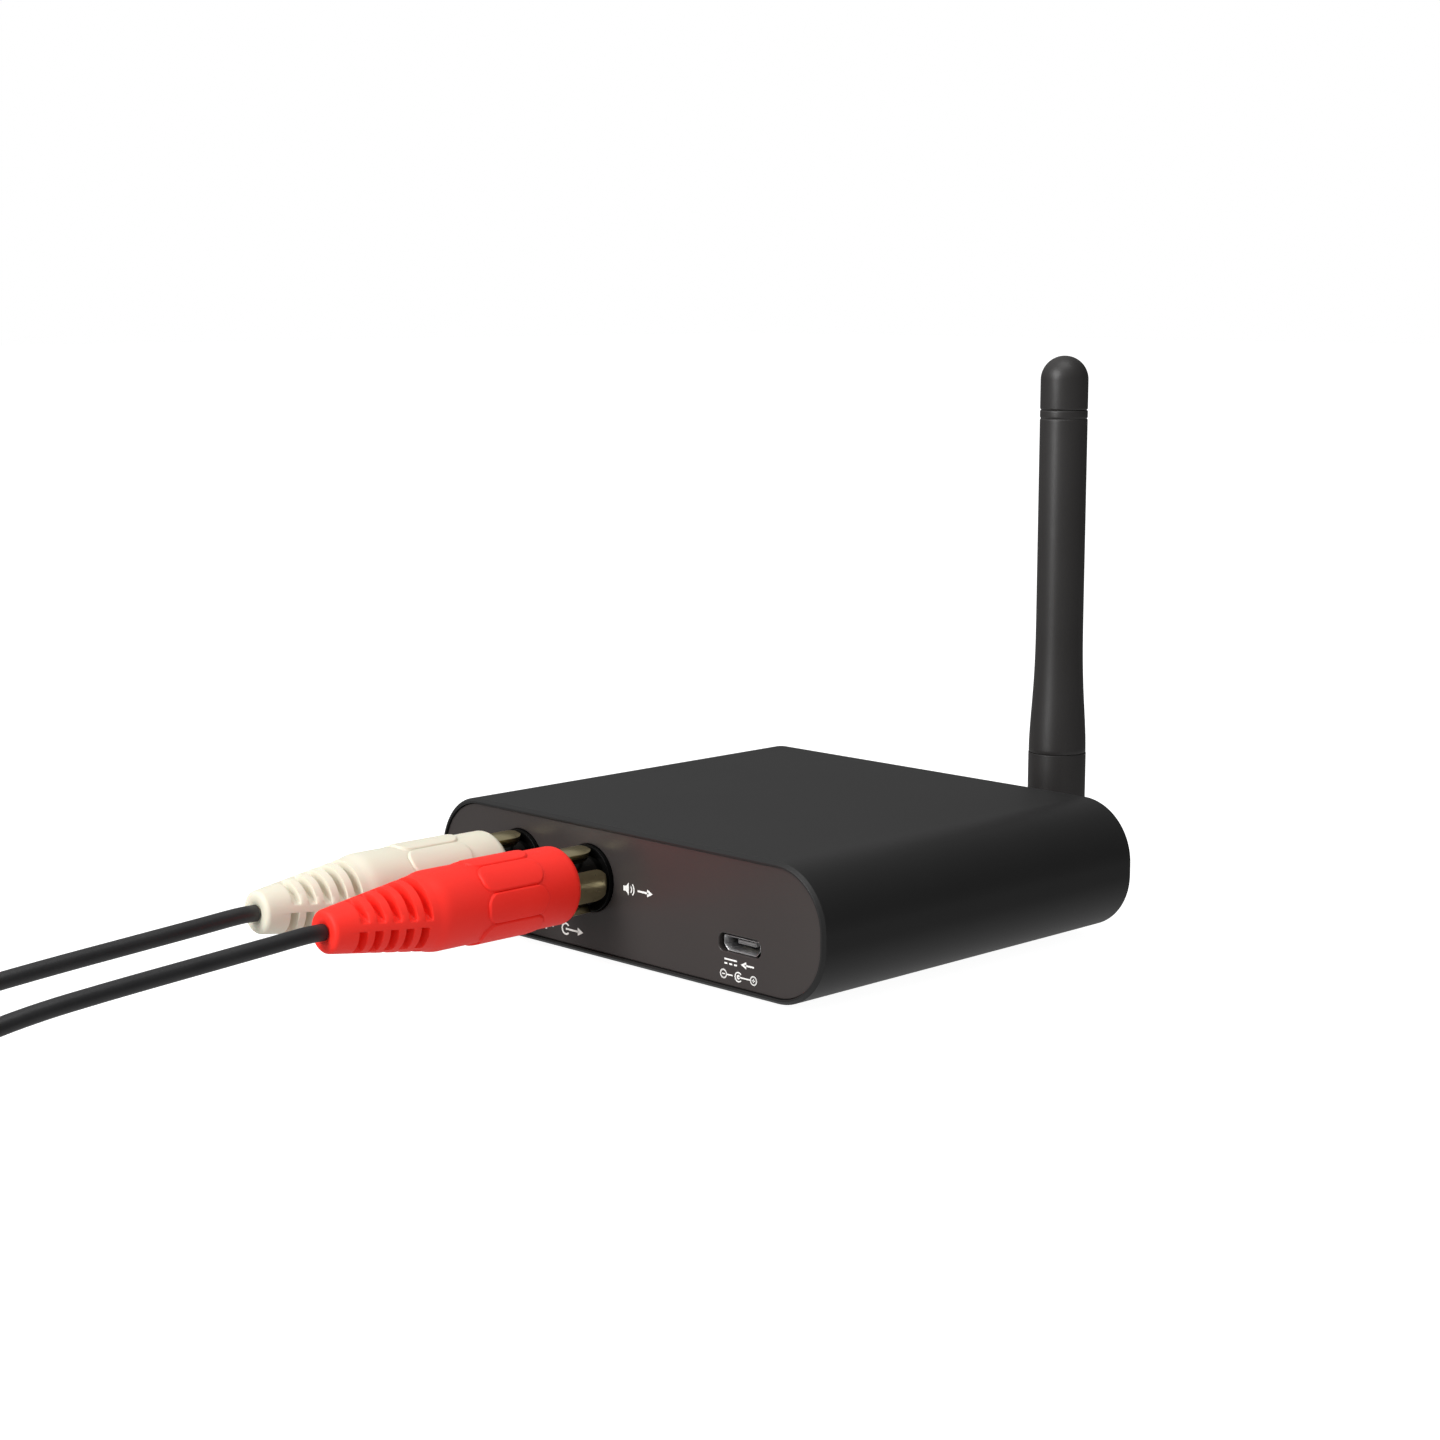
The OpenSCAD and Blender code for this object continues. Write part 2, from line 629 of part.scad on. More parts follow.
module right_plug_body() color(red) seated(right_x) plug_body();
module right_plug_shell() color(gold) seated(right_x) plug_shell();
module right_plug_insulator() color([0.9, 0.9, 0.88]) seated(right_x) plug_insulator();
module right_plug_pin() color(gold) seated(right_x) plug_pin();
module left_plug_body() color(cream) seated(left_x) plug_body();
module left_plug_shell() color(gold) seated(left_x) plug_shell();
module left_plug_insulator() color([0.9, 0.9, 0.88]) seated(left_x) plug_insulator();
module left_plug_pin() color(gold) seated(left_x) plug_pin();

// ---- cords: from the plug's tail down to the table, ten times round, and into the far plug ----

// Heights and distances along -Y, the same for both cords: straight out, down to the table, into the coil
droop = [[-85.75, 13.2], [-89, 13.2], [-95, 12.8], [-102, 12.35], [-109, 11.9], [-116, 11.45], [-123, 10.95],
  [-130, 10.35], [-137, 9.4], [-143, 8.1], [-149, 6.4], [-155, 4.5], [-161, 2.8], [-166, 2], [-171, 1.8]];
// Out of the coil's top, down to the far plug's tail
tail = [[-181, 9.2], [-184, 8.4], [-187, 7], [-189.5, 6.4], [-192, 6.4]];
coil_y = -176;
coil_lift = 0.5;
coil_half = 1.25 * cord_d + cord_d / 2;
coil_h = 4 * cord_d;
far_tail = -192;
far_z = 6.4;
turn_out = coil_r + 1.25 * cord_d;

module cord(x) color([0.06, 0.06, 0.06]) {
  swept([for (p = droop) [x, p[0], p[1]]], cord_d / 2);
  swept([for (p = tail) [x, p[0], p[1]]], cord_d / 2);
}

// One closed ring of the outer shape of ten turns; side is +1 where it lies on the cord's +X side
module cord_coil(x, side) color([0.08, 0.08, 0.08])
  translate([x + side * turn_out, coil_y, coil_lift + coil_h / 2]) rotate_extrude()
    translate([coil_r, 0]) round_rect(2 * coil_half, coil_h, cord_d / 2);

module far(x) against_y(x, far_tail - plug_len, far_z) children();

module right_cord() cord(right_x);
module left_cord() cord(left_x);
module right_cord_coil() cord_coil(right_x, 1);
module left_cord_coil() cord_coil(left_x, -1);
module right_far_plug_body() color(red) far(right_x) plug_body();
module right_far_plug_shell() color(gold) far(right_x) plug_shell();
module left_far_plug_body() color(cream) far(left_x) plug_body();
module left_far_plug_shell() color(gold) far(left_x) plug_shell();

// The far plug's pin and the insulator round it
module far_core(x) color(gold) far(x) {
  plug_pin();
  plug_insulator();
}
module right_far_plug_core() far_core(right_x);
module left_far_plug_core() far_core(left_x);

case_sleeve();
rear_panel();
front_panel();
base_mat();
main_board();
bluetooth_module();
module_shield();
converter_chip();
amplifier_chip();
regulator();
power_inductor();
crystal();
electrolytic_capacitors();
chip_components();
phono_jack_block();
right_jack_barrel();
left_jack_barrel();
right_jack_insulator();
left_jack_insulator();
right_jack_contact();
left_jack_contact();
usb_socket_shell();
usb_socket_tongue();
status_led();
light_pipe();
switch_body();
switch_plunger();
pair_button();
antenna_jack();
antenna_jack_insulator();
antenna_jack_contact();
antenna_jack_washer();
antenna_jack_nut();
antenna_pigtail();
antenna_coupling_nut();
antenna_base();
antenna_hinge_pin();
antenna_knuckle();
antenna_sleeve();
antenna_cap();
antenna_radiator();
antenna_feed();
right_plug_body();
right_plug_shell();
right_plug_insulator();
right_plug_pin();
right_cord();
right_cord_coil();
right_far_plug_body();
right_far_plug_shell();
right_far_plug_core();
left_plug_body();
left_plug_shell();
left_plug_insulator();
left_plug_pin();
left_cord();
left_cord_coil();
left_far_plug_body();
left_far_plug_shell();
left_far_plug_core();
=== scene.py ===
"""The looks of the Bluetooth audio receiver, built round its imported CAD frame.

Lengths are in millimetres in the lists below and become metres when a mesh is made. Every mesh is made where
it lies in the row frame, and its object stays at the origin.
"""

import json
import math

import bmesh
import bpy
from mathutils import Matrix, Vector
from mathutils.geometry import tessellate_polygon


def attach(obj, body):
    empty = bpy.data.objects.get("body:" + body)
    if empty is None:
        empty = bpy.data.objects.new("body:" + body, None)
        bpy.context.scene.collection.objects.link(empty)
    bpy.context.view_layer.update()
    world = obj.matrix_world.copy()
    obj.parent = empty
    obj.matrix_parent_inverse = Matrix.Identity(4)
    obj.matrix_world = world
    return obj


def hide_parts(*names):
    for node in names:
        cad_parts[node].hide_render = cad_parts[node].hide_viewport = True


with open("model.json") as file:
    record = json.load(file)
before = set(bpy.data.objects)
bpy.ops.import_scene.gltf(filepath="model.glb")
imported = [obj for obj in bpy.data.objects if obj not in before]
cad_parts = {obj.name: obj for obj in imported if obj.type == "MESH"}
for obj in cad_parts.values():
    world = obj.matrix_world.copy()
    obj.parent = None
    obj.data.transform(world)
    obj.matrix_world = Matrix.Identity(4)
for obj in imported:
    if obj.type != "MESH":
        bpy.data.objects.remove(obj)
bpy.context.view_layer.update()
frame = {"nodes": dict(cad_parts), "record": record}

MM = 0.001
scene = bpy.context.scene

# ---- sizes, as in the CAD model ----

CASE_W, CASE_H, CASE_MID = 86.0, 21.0, 11.5
CORNER_R, WALL = 9.5, 1.3
RIM_Y, RIM_WALL, RIM_CHAMFER = 35.75, 0.8, 0.5
PANEL_Y, PANEL_T = 35.35, 1.5
SEAT_Y = PANEL_Y - PANEL_T
AXIS_Z = 13.2
# Room round a part that sits in another one, such as a jack's nose in the panel
FIT = 0.05
LINES = {"right": -6.9, "left": -23.4}
SIDE_OF_LINE = {"right": 1, "left": -1}
NOSE_R, JACK_R, JACK_BORE_R, CONTACT_R = 5.25, 4.15, 3.55, 2.05
PIN_R, SHELL_R, BODY_R, GRIP_R = 1.6, 5.25, 6.05, 6.35
PLUG_FACE, PLUG_LEN = -42.05, 43.7
FAR_FACE, FAR_Z = -235.7, 6.4
USB_X, USB_Z = 25.7, 8.25
USB_SLOT_W, USB_SLOT_H, USB_SLOT_R = 8.6, 2.7, 1.0
ANTENNA_X, HINGE_Y, ANTENNA_HOLE_R = 12.4, 54.75, 3.25
SEAM_Z, FLARE_Z, CAP_Z, TIP_Z = 24.4, 50.2, 82.7, 91.7
ROD_R, COLLAR_R, SOCKET_R = 4.0, 4.9, 2.8
# Middle across the case, height and radius
BUTTON = (-22.0, 10.4, 2.4)
PIPE = (-10.0, 10.4, 1.1)
BUTTON_PLAY = 0.1

CORD_D, CORD_LEN = 2.55, 1000.0
COIL_R, COIL_Y, COIL_LIFT = 14.2, -176.0, 0.5
TURNS, LAYER_TURNS = 10, 2.5
TURN_OUT = COIL_R + 1.25 * CORD_D
# The wound turns' width and height, and the strap round them
WOUND_W, WOUND_H = 8.92, 10.2
STRAP_OUT, STRAP_T, STRAP_HALF = 0.45, 0.4, 2.4
# Distances along Y and heights: from the plug to the coil, and from the coil to the far plug
DROOP = [(-85.75, 13.2), (-89, 13.2), (-95, 12.8), (-102, 12.35), (-109, 11.9), (-116, 11.45), (-123, 10.95),
         (-130, 10.35), (-137, 9.4), (-143, 8.1), (-149, 6.4), (-155, 4.5), (-161, 2.8), (-166, 2),
         (-171, 1.8)]
TAIL = [(-181, 9.2), (-184, 8.4), (-187, 7), (-189.5, 6.4), (-192, 6.4)]


# ---- mesh helpers ----


def add(obj):
    scene.collection.objects.link(obj)
    return obj


def mesh_object(name, parts, crease=35):
    """One object of several closed skins, each given as points in millimetres and faces."""
    bm = bmesh.new()
    for points, faces in parts:
        verts = [bm.verts.new(Vector(p) * MM) for p in points]
        for face in faces:
            bm.faces.new([verts[i] for i in face])
    bmesh.ops.remove_doubles(bm, verts=bm.verts, dist=1e-7)
    bmesh.ops.recalc_face_normals(bm, faces=bm.faces)
    mesh = bpy.data.meshes.new(name)
    bm.to_mesh(mesh)
    bm.free()
    mesh.shade_smooth()
    mesh.set_sharp_from_angle(angle=math.radians(crease))
    return add(bpy.data.objects.new(name, mesh))


def loft(rings, closed=False):
    """A skin over rings of equal size. It is capped at both ends unless its last ring joins its first."""
    n, count = len(rings[0]), len(rings)
    faces = []
    for i in range(count if closed else count - 1):
        a, b = i * n, (i + 1) % count * n
        faces += [(a + k, a + (k + 1) % n, b + (k + 1) % n, b + k) for k in range(n)]
    if not closed:
        faces += [tuple(range(n)), tuple(range((count - 1) * n, count * n))]
    return [p for ring in rings for p in ring], faces


def rounded(corners, steps=4, support=0.12, closed=True):
    """An outline of (x, y, radius) corners, each of them rounded and with a support point on either side."""
    points, n = [], len(corners)
    for i, (x, y, radius) in enumerate(corners):
        p = Vector((x, y))
        if radius <= 0 or (not closed and i in (0, n - 1)):
            points.append((x, y))
            continue
        u = Vector(corners[i - 1][:2]) - p
        v = Vector(corners[(i + 1) % n][:2]) - p
        room_u, room_v = u.length, v.length
        u.normalize()
        v.normalize()
        half = u.angle(v) / 2
        reach = radius / math.tan(half)
        centre = p + (u + v).normalized() * radius / math.sin(half)
        start, end = p + u * reach - centre, p + v * reach - centre
        sweep = start.angle(end)
        if reach + support < room_u / 2:
            points.append(tuple(p + u * (reach + support)))
        for k in range(steps + 1):
            t = k / steps
            spoke = (math.sin((1 - t) * sweep) * start + math.sin(t * sweep) * end) / math.sin(sweep)
            points.append(tuple(centre + spoke))
        if reach + support < room_v / 2:
            points.append(tuple(p + v * (reach + support)))
    return points


def round_rect(w, h, r, x=0.0, y=0.0, steps=12):
    """A function that gives a rounded rectangle's points, moved in by an inset."""

    def points(inset):
        ring = []
        a, b, radius = w / 2 - r, h / 2 - r, r - inset
        for k, (sx, sy) in enumerate([(1, 1), (-1, 1), (-1, -1), (1, -1)]):
            for i in range(steps + 1):
                turn = math.radians(90 * k + 90 * i / steps)
                ring.append((x + sx * a + radius * math.cos(turn), y + sy * b + radius * math.sin(turn)))
        return ring

    return points


def circle(r, x=0.0, y=0.0, steps=64, hole=False):
    """A function that gives a circle's points, moved into the material by an inset."""

    def points(inset):
        radius = r + inset if hole else r - inset
        turns = [2 * math.pi * k / steps for k in range(steps)]
        return [(x + radius * math.cos(t), y + radius * math.sin(t)) for t in turns]

    return points


def plate(loops, thickness, edge, place, steps=3):
    """A flat plate. The first loop is its outline, the others are holes, and all its edges are rounded."""
    quarter = [math.pi / 2 * k / steps for k in range(steps + 1)]
    profile = [(edge + 0.12, 0.0)] + [(edge - edge * math.sin(a), edge - edge * math.cos(a)) for a in quarter]
    profile += [(inset, thickness - up) for inset, up in reversed(profile)]
    points, faces, sizes = [], [], []
    for loop in loops:
        base = len(points)
        rings = [[(*q, up) for q in loop(inset)] for inset, up in profile]
        skin, quads = loft(rings, closed=False)
        sizes.append((base, len(rings[0]), len(rings)))
        points += skin
        faces += [tuple(base + i for i in quad) for quad in quads[:-2]]
    for last in (False, True):
        index = []
        for base, n, count in sizes:
            first = base + (count - 1) * n if last else base
            index.append(list(range(first, first + n)))
        flat = [i for loop in index for i in loop]
        outlines = [[Vector((points[i][0], points[i][1], 0)) for i in loop] for loop in index]
        triangles = tessellate_polygon(outlines)
        faces += [tuple(flat[k] for k in t) for t in triangles]
    return [place(*p) for p in points], faces


def lathe(profile, place, sides=96, closed=False):
    """A turned skin from (radius, height) pairs. A closed profile makes a ring, others end on the axis."""
    turns = [2 * math.pi * k / sides for k in range(sides)]
    rings = [[place(r * math.cos(t), r * math.sin(t), h) for t in turns] for r, h in profile]
    skin, faces = loft(rings, closed)
    return skin, faces if closed else faces[:-2]


def turned(corners, place, sides=96, closed=True, steps=3):
    """A lathe skin with rounded corners, from (radius, height, rounding) corners."""
    return lathe(rounded(corners, steps=steps, support=0.08, closed=closed), place, sides, closed)


def ease(t):
    t = min(max(t, 0.0), 1.0)
    return t * t * (3 - 2 * t)


def along_y(x, y, z):
    """Local height runs to +Y from the point."""
    return lambda u, v, h: (x + u, y + h, z + v)


def against_y(x, y, z):
    """Local height runs to -Y from the point."""
    return lambda u, v, h: (x + u, y - h, z + v)


def up_z(x, y, z):
    return lambda u, v, h: (x + u, y + v, z + h)


def along_x(x, y, z):
    """Local height runs to +X from the point."""
    return lambda u, v, h: (x + h, y + u, z + v)


# ---- camera ----

camera = add(bpy.data.objects.new("camera", bpy.data.cameras.new("camera")))
camera.location = (0.29446, -0.30304, 0.10299)
camera.rotation_euler = (math.radians(80.804), 0, math.radians(45.5425))
camera.data.lens = 66.82
camera.data.sensor_width = 36
camera.data.clip_start = 0.01
scene.camera = camera

# ---- cords ----


def smooth_path(points, steps=4):
    """Points on a smooth curve through the given ones."""
    path = []
    for i in range(len(points) - 1):
        p0, p1 = Vector(points[max(i - 1, 0)]), Vector(points[i])
        p2, p3 = Vector(points[i + 1]), Vector(points[min(i + 2, len(points) - 1)])
        for k in range(steps):
            t = k / steps
            path.append(0.5 * (2 * p1 + (p2 - p0) * t + (2 * p0 - 5 * p1 + 4 * p2 - p3) * t ** 2
                               + (3 * p1 - 3 * p2 + p3 - p0) * t ** 3))
    return path + [Vector(points[-1])]


def coil_path(x, side, per_turn=40, climb=0.12):
    """Ten turns in four layers, in at the bottom's outer turn and out at the top's."""
    path = []
    for i in range(TURNS * per_turn + 1):
        t = i / per_turn
        layer = min(int(t / LAYER_TURNS), 3)
        inward = t - LAYER_TURNS * layer
        if layer % 2:
            inward = LAYER_TURNS - inward
        r = TURN_OUT - CORD_D * inward
        rise = sum(ease((t - LAYER_TURNS * k + climb) / (2 * climb)) for k in (1, 2, 3))
        z = COIL_LIFT + CORD_D / 2 + CORD_D * rise
        turn = 2 * math.pi * t
        path.append(Vector((x + side * (TURN_OUT - r * math.cos(turn)), COIL_Y - r * math.sin(turn), z)))
    return path


def cord_curve(name, x, side):
    path = smooth_path([(x, y, z) for y, z in DROOP] + [(x, COIL_Y, DROOP[-1][1] - 0.025)])[:-1]
    path += coil_path(x, side)
    path += smooth_path([(x, COIL_Y, 9.425)] + [(x, y, z) for y, z in TAIL])[1:]
    curve = bpy.data.curves.new(name, "CURVE")
    curve.dimensions = "3D"
    spline = curve.splines.new("POLY")
    spline.points.add(len(path) - 1)
    spline.points.foreach_set("co", [c for p in path for c in (*(p * MM), 1)])
    curve.bevel_depth = CORD_D / 2 * MM
    curve.bevel_resolution = 4
    curve.use_fill_caps = True
    spline.use_smooth = True
    return add(bpy.data.objects.new(name, curve))


cords = {side: cord_curve(f"{side}_cord_curve", x, SIDE_OF_LINE[side]) for side, x in LINES.items()}


# ---- materials ----


def material(name, light, dark, rough, spread=0.06, metal=0.0, cloud=60, grain=(3000, 0.02),
             stretch=(1, 1, 1), **sockets):
    """A finish whose colour drifts softly between two tones, with a fine grain in its gloss and its relief.

    cloud and grain[0] are features per metre, and grain[1] is the relief's height in millimetres.
    """
    mat = bpy.data.materials.new(name)
    mat.use_nodes = True
    mat.diffuse_color = (*light, 1)
    nodes, links = mat.node_tree.nodes, mat.node_tree.links
    shader = nodes["Principled BSDF"]
    place = nodes.new("ShaderNodeTexCoord")
    mapping = nodes.new("ShaderNodeMapping")
    mapping.inputs["Scale"].default_value = stretch
    links.new(place.outputs["Object"], mapping.inputs["Vector"])

    def noise(scale, detail):
        node = nodes.new("ShaderNodeTexNoise")
        node.inputs["Scale"].default_value = scale
        node.inputs["Detail"].default_value = detail
        links.new(mapping.outputs["Vector"], node.inputs["Vector"])
        return node.outputs["Fac"]

    soft, fine = noise(cloud, 3), noise(grain[0], 2)
    mix = nodes.new("ShaderNodeMix")
    mix.data_type = "RGBA"
    mix.inputs[6].default_value = (*dark, 1)
    mix.inputs[7].default_value = (*light, 1)
    drift = nodes.new("ShaderNodeMapRange")
    drift.inputs["From Min"].default_value = 0.3
    drift.inputs["From Max"].default_value = 0.7
    links.new(soft, drift.inputs["Value"])
    links.new(drift.outputs["Result"], mix.inputs[0])
    links.new(mix.outputs[2], shader.inputs["Base Color"])
    gloss = nodes.new("ShaderNodeMapRange")
    gloss.inputs["From Min"].default_value = 0.25
    gloss.inputs["From Max"].default_value = 0.75
    gloss.inputs["To Min"].default_value = rough - spread / 2
    gloss.inputs["To Max"].default_value = rough + spread / 2
    links.new(fine, gloss.inputs["Value"])
    links.new(gloss.outputs["Result"], shader.inputs["Roughness"])
    bump = nodes.new("ShaderNodeBump")
    bump.inputs["Strength"].default_value = 1.0
    bump.inputs["Distance"].default_value = grain[1] * MM
    links.new(fine, bump.inputs["Height"])
    links.new(bump.outputs["Normal"], shader.inputs["Normal"])
    shader.inputs["Metallic"].default_value = metal
    for socket, value in sockets.items():
        shader.inputs[socket.replace("_", " ")].default_value = value
    return mat


FINISH = {
    "anodised_sleeve": material("anodised_sleeve", (0.0155, 0.0155, 0.0155), (0.0135, 0.0135, 0.0135), 0.42,
                                0.06, cloud=25, grain=(6500, 0.006), Specular_IOR_Level=0.32),
    "end_panel": material("end_panel", (0.044, 0.038, 0.036), (0.036, 0.031, 0.03), 0.3, 0.04, cloud=30,
                          grain=(5000, 0.002), stretch=(1, 1, 0.25), Specular_IOR_Level=0.4),
    "mat_rubber": material("mat_rubber", (0.02, 0.02, 0.02), (0.014, 0.014, 0.014), 0.75, 0.15,
                           grain=(2500, 0.05)),
    "circuit_board": material("circuit_board", (0.02, 0.13, 0.05), (0.012, 0.09, 0.035), 0.35, 0.1, cloud=300,
                              grain=(900, 0.03)),
    "module_board": material("module_board", (0.02, 0.06, 0.17), (0.012, 0.04, 0.12), 0.35, 0.1, cloud=300,
                             grain=(900, 0.03)),
    "tinned_steel": material("tinned_steel", (0.62, 0.62, 0.62), (0.5, 0.5, 0.51), 0.4, 0.12, 1.0, cloud=500,
                             grain=(2500, 0.01)),
    "chip_black": material("chip_black", (0.03, 0.03, 0.032), (0.02, 0.02, 0.022), 0.6, 0.15,
                           grain=(4000, 0.02)),
    "ferrite": material("ferrite", (0.07, 0.07, 0.075), (0.05, 0.05, 0.055), 0.65, 0.15, grain=(5000, 0.02)),
    "capacitor_can": material("capacitor_can", (0.66, 0.66, 0.68), (0.55, 0.55, 0.57), 0.28, 0.1, 1.0,
                              cloud=200, grain=(2000, 0.01), stretch=(1, 1, 0.1)),
    "ceramic": material("ceramic", (0.4, 0.28, 0.18), (0.32, 0.22, 0.14), 0.5, 0.1, grain=(4000, 0.02)),
    "socket_plastic": material("socket_plastic", (0.003, 0.003, 0.003), (0.002, 0.002, 0.002), 0.25, 0.05,
                               grain=(3500, 0.002), Specular_IOR_Level=0.12),
    "dark_nickel": material("dark_nickel", (0.05, 0.048, 0.045), (0.035, 0.034, 0.032), 0.12, 0.05, 1.0,
                            cloud=200, grain=(3000, 0.002)),
    "grey_plastic": material("grey_plastic", (0.2, 0.2, 0.2), (0.15, 0.15, 0.15), 0.4, 0.1, cloud=600,
                             grain=(3500, 0.01)),
    "white_insulator": material("white_insulator", (0.84, 0.84, 0.82), (0.78, 0.78, 0.75), 0.4, 0.1,
                                grain=(3000, 0.01)),
    "gold_plating": material("gold_plating", (0.7, 0.61, 0.36), (0.63, 0.55, 0.32), 0.3, 0.06, 1.0, cloud=260,
                             grain=(2600, 0.004)),
    "led_lens": material("led_lens", (0.86, 0.9, 0.94), (0.78, 0.83, 0.88), 0.12, 0.05, grain=(1500, 0.004),
                         Transmission_Weight=0.6, IOR=1.49),
    "button_plastic": material("button_plastic", (0.02, 0.02, 0.02), (0.014, 0.014, 0.014), 0.4, 0.1,
                               grain=(4500, 0.015)),
    "antenna_plastic": material("antenna_plastic", (0.026, 0.0245, 0.024), (0.022, 0.0205, 0.02), 0.42, 0.06,
                                cloud=60, grain=(4200, 0.006), Specular_IOR_Level=0.5),
    "hinge_steel": material("hinge_steel", (0.55, 0.55, 0.55), (0.45, 0.45, 0.46), 0.25, 0.1, 1.0,
                            grain=(3000, 0.006)),
    "copper": material("copper", (0.6, 0.34, 0.2), (0.5, 0.27, 0.15), 0.3, 0.1, 1.0, grain=(3000, 0.006)),
    "red_plastic": material("red_plastic", (0.92, 0.024, 0.013), (0.88, 0.02, 0.011), 0.55, 0.08, cloud=90,
                            grain=(3600, 0.012), Specular_IOR_Level=0.3, Subsurface_Weight=0.1,
                            Subsurface_Scale=0.0015),
    "cream_plastic": material("cream_plastic", (0.71, 0.675, 0.555), (0.68, 0.645, 0.525), 0.55, 0.08,
                              cloud=90, grain=(3600, 0.012), Subsurface_Weight=0.08,
                              Subsurface_Scale=0.0015),
    "cord_jacket": material("cord_jacket", (0.02, 0.02, 0.021), (0.015, 0.015, 0.016), 0.45, 0.1, cloud=120,
                            grain=(3000, 0.015)),
}


def piece(obj, body, slot, replaced=(), finish=None):
    """Gives a piece its finish and its body, and hides the CAD nodes it stands for."""
    obj.data.materials.clear()
    obj.data.materials.append(FINISH[finish or slot])
    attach(obj, body)
    if replaced:
        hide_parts(*replaced)
    return obj


# ---- case ----

case_outline = round_rect(CASE_W, CASE_H, CORNER_R, steps=28)


def case_ring(inset, y):
    return [(x, y, CASE_MID + z) for x, z in case_outline(inset)]


# One end of the wall: distance in from the outer surface, distance along Y and rounding
wall_end = [(0, RIM_Y - RIM_CHAMFER, 0.1), (RIM_CHAMFER, RIM_Y, 0.1), (RIM_WALL, RIM_Y, 0.08),
            (RIM_WALL, SEAT_Y, 0.05), (WALL, SEAT_Y, 0.05)]
wall_loop = rounded([(inset, -y, r) for inset, y, r in wall_end] + wall_end[::-1], steps=3, support=0.06)
sleeve_parts = [loft([case_ring(inset, y) for inset, y in wall_loop], closed=True)]
# The rails under and over each edge of the board: middle across and up, width and height
RAIL_END = 33.65
RAILS = ((38.35, 4.75, 3.1, 1.1), (39.2, 7.45, 4.8, 0.9))
for sign in (-1, 1):
    for x, z, w, h in RAILS:
        rail = plate([round_rect(w, h, 0.3, sign * x, z)], 2 * RAIL_END, 0.15, along_y(0, -RAIL_END, 0))
        sleeve_parts.append(rail)
piece(mesh_object("sleeve", sleeve_parts), "case", "anodised_sleeve", ["case_sleeve"])

panel_outline = round_rect(CASE_W - 2 * (RIM_WALL + FIT), CASE_H - 2 * (RIM_WALL + FIT),
                           CORNER_R - RIM_WALL - FIT, 0, CASE_MID, steps=28)
# A panel's two tongues: width, height, start behind the face and length, then their middles above the table
CLASP_W, CLASP_H, CLASP_START, CLASP_LEN = 60, 0.94, 1.3, 4.2
CLASP_HEIGHTS = (2.85, 20.15)


def end_panel(name, loops, place, node):
    """A plate with rounded edges, and the two tongues that hold it in the sleeve."""
    parts = [plate([panel_outline] + loops, PANEL_T, 0.16, place)]
    for z in CLASP_HEIGHTS:
        parts.append(plate([round_rect(CLASP_W, CLASP_H, 0.25, 0, z)], CLASP_LEN, 0.15,
                           lambda u, v, h: place(u, v, h + CLASP_START)))
    return piece(mesh_object(name, parts), "case", "end_panel", [node])


def slot_hole(w, h, r, x, z):
    """A rounded rectangle for a hole, which an inset makes bigger."""
    points = round_rect(w, h, r, x, z, steps=10)
    return lambda inset: points(-inset)


rear_holes = [circle(NOSE_R + FIT, x, AXIS_Z, hole=True) for x in LINES.values()]
rear_holes.append(slot_hole(USB_SLOT_W, USB_SLOT_H, USB_SLOT_R, USB_X, USB_Z))
end_panel("rear_plate", rear_holes, along_y(0, -PANEL_Y, 0), "rear_panel")
front_holes = [circle(ANTENNA_HOLE_R, ANTENNA_X, AXIS_Z, hole=True)]
front_holes.append(circle(BUTTON[2] + BUTTON_PLAY, BUTTON[0], BUTTON[1], hole=True))
front_holes.append(circle(PIPE[2], PIPE[0], PIPE[1], hole=True))
end_panel("front_plate", front_holes, against_y(0, PANEL_Y, 0), "front_panel")

MAT_W, MAT_LEN, MAT_CORNER, MAT_T = 62, 56, 5, 1.0
mat_plate = plate([round_rect(MAT_W, MAT_LEN, MAT_CORNER)], MAT_T, 0.2, up_z(0, 0, 0))
piece(mesh_object("rubber_mat", [mat_plate]), "case", "mat_rubber", ["base_mat"])

# ---- phono jacks ----

BLOCK_W, BLOCK_T, BLOCK_H, BLOCK_X, BLOCK_Z = 31.5, 10.0, 12.4, -15.15, 13.1
NOSE_PROUD, NOSE_BACK = 0.7, 2.5
block_loops = [round_rect(BLOCK_W, BLOCK_H, 0.8, BLOCK_X, BLOCK_Z)]
block_loops += [circle(JACK_R, x, AXIS_Z, hole=True) for x in LINES.values()]
block_parts = [plate(block_loops, BLOCK_T, 0.2, along_y(0, -SEAT_Y, 0))]
nose = [(JACK_R, -NOSE_PROUD, 0.1), (NOSE_R, -NOSE_PROUD, 0.06), (NOSE_R, NOSE_BACK, 0.1),
        (JACK_R, NOSE_BACK, 0.1)]
for x in LINES.values():
    block_parts.append(turned(nose, along_y(x, -PANEL_Y, AXIS_Z)))
piece(mesh_object("jack_block", block_parts), "case", "socket_plastic", ["phono_jack_block"])

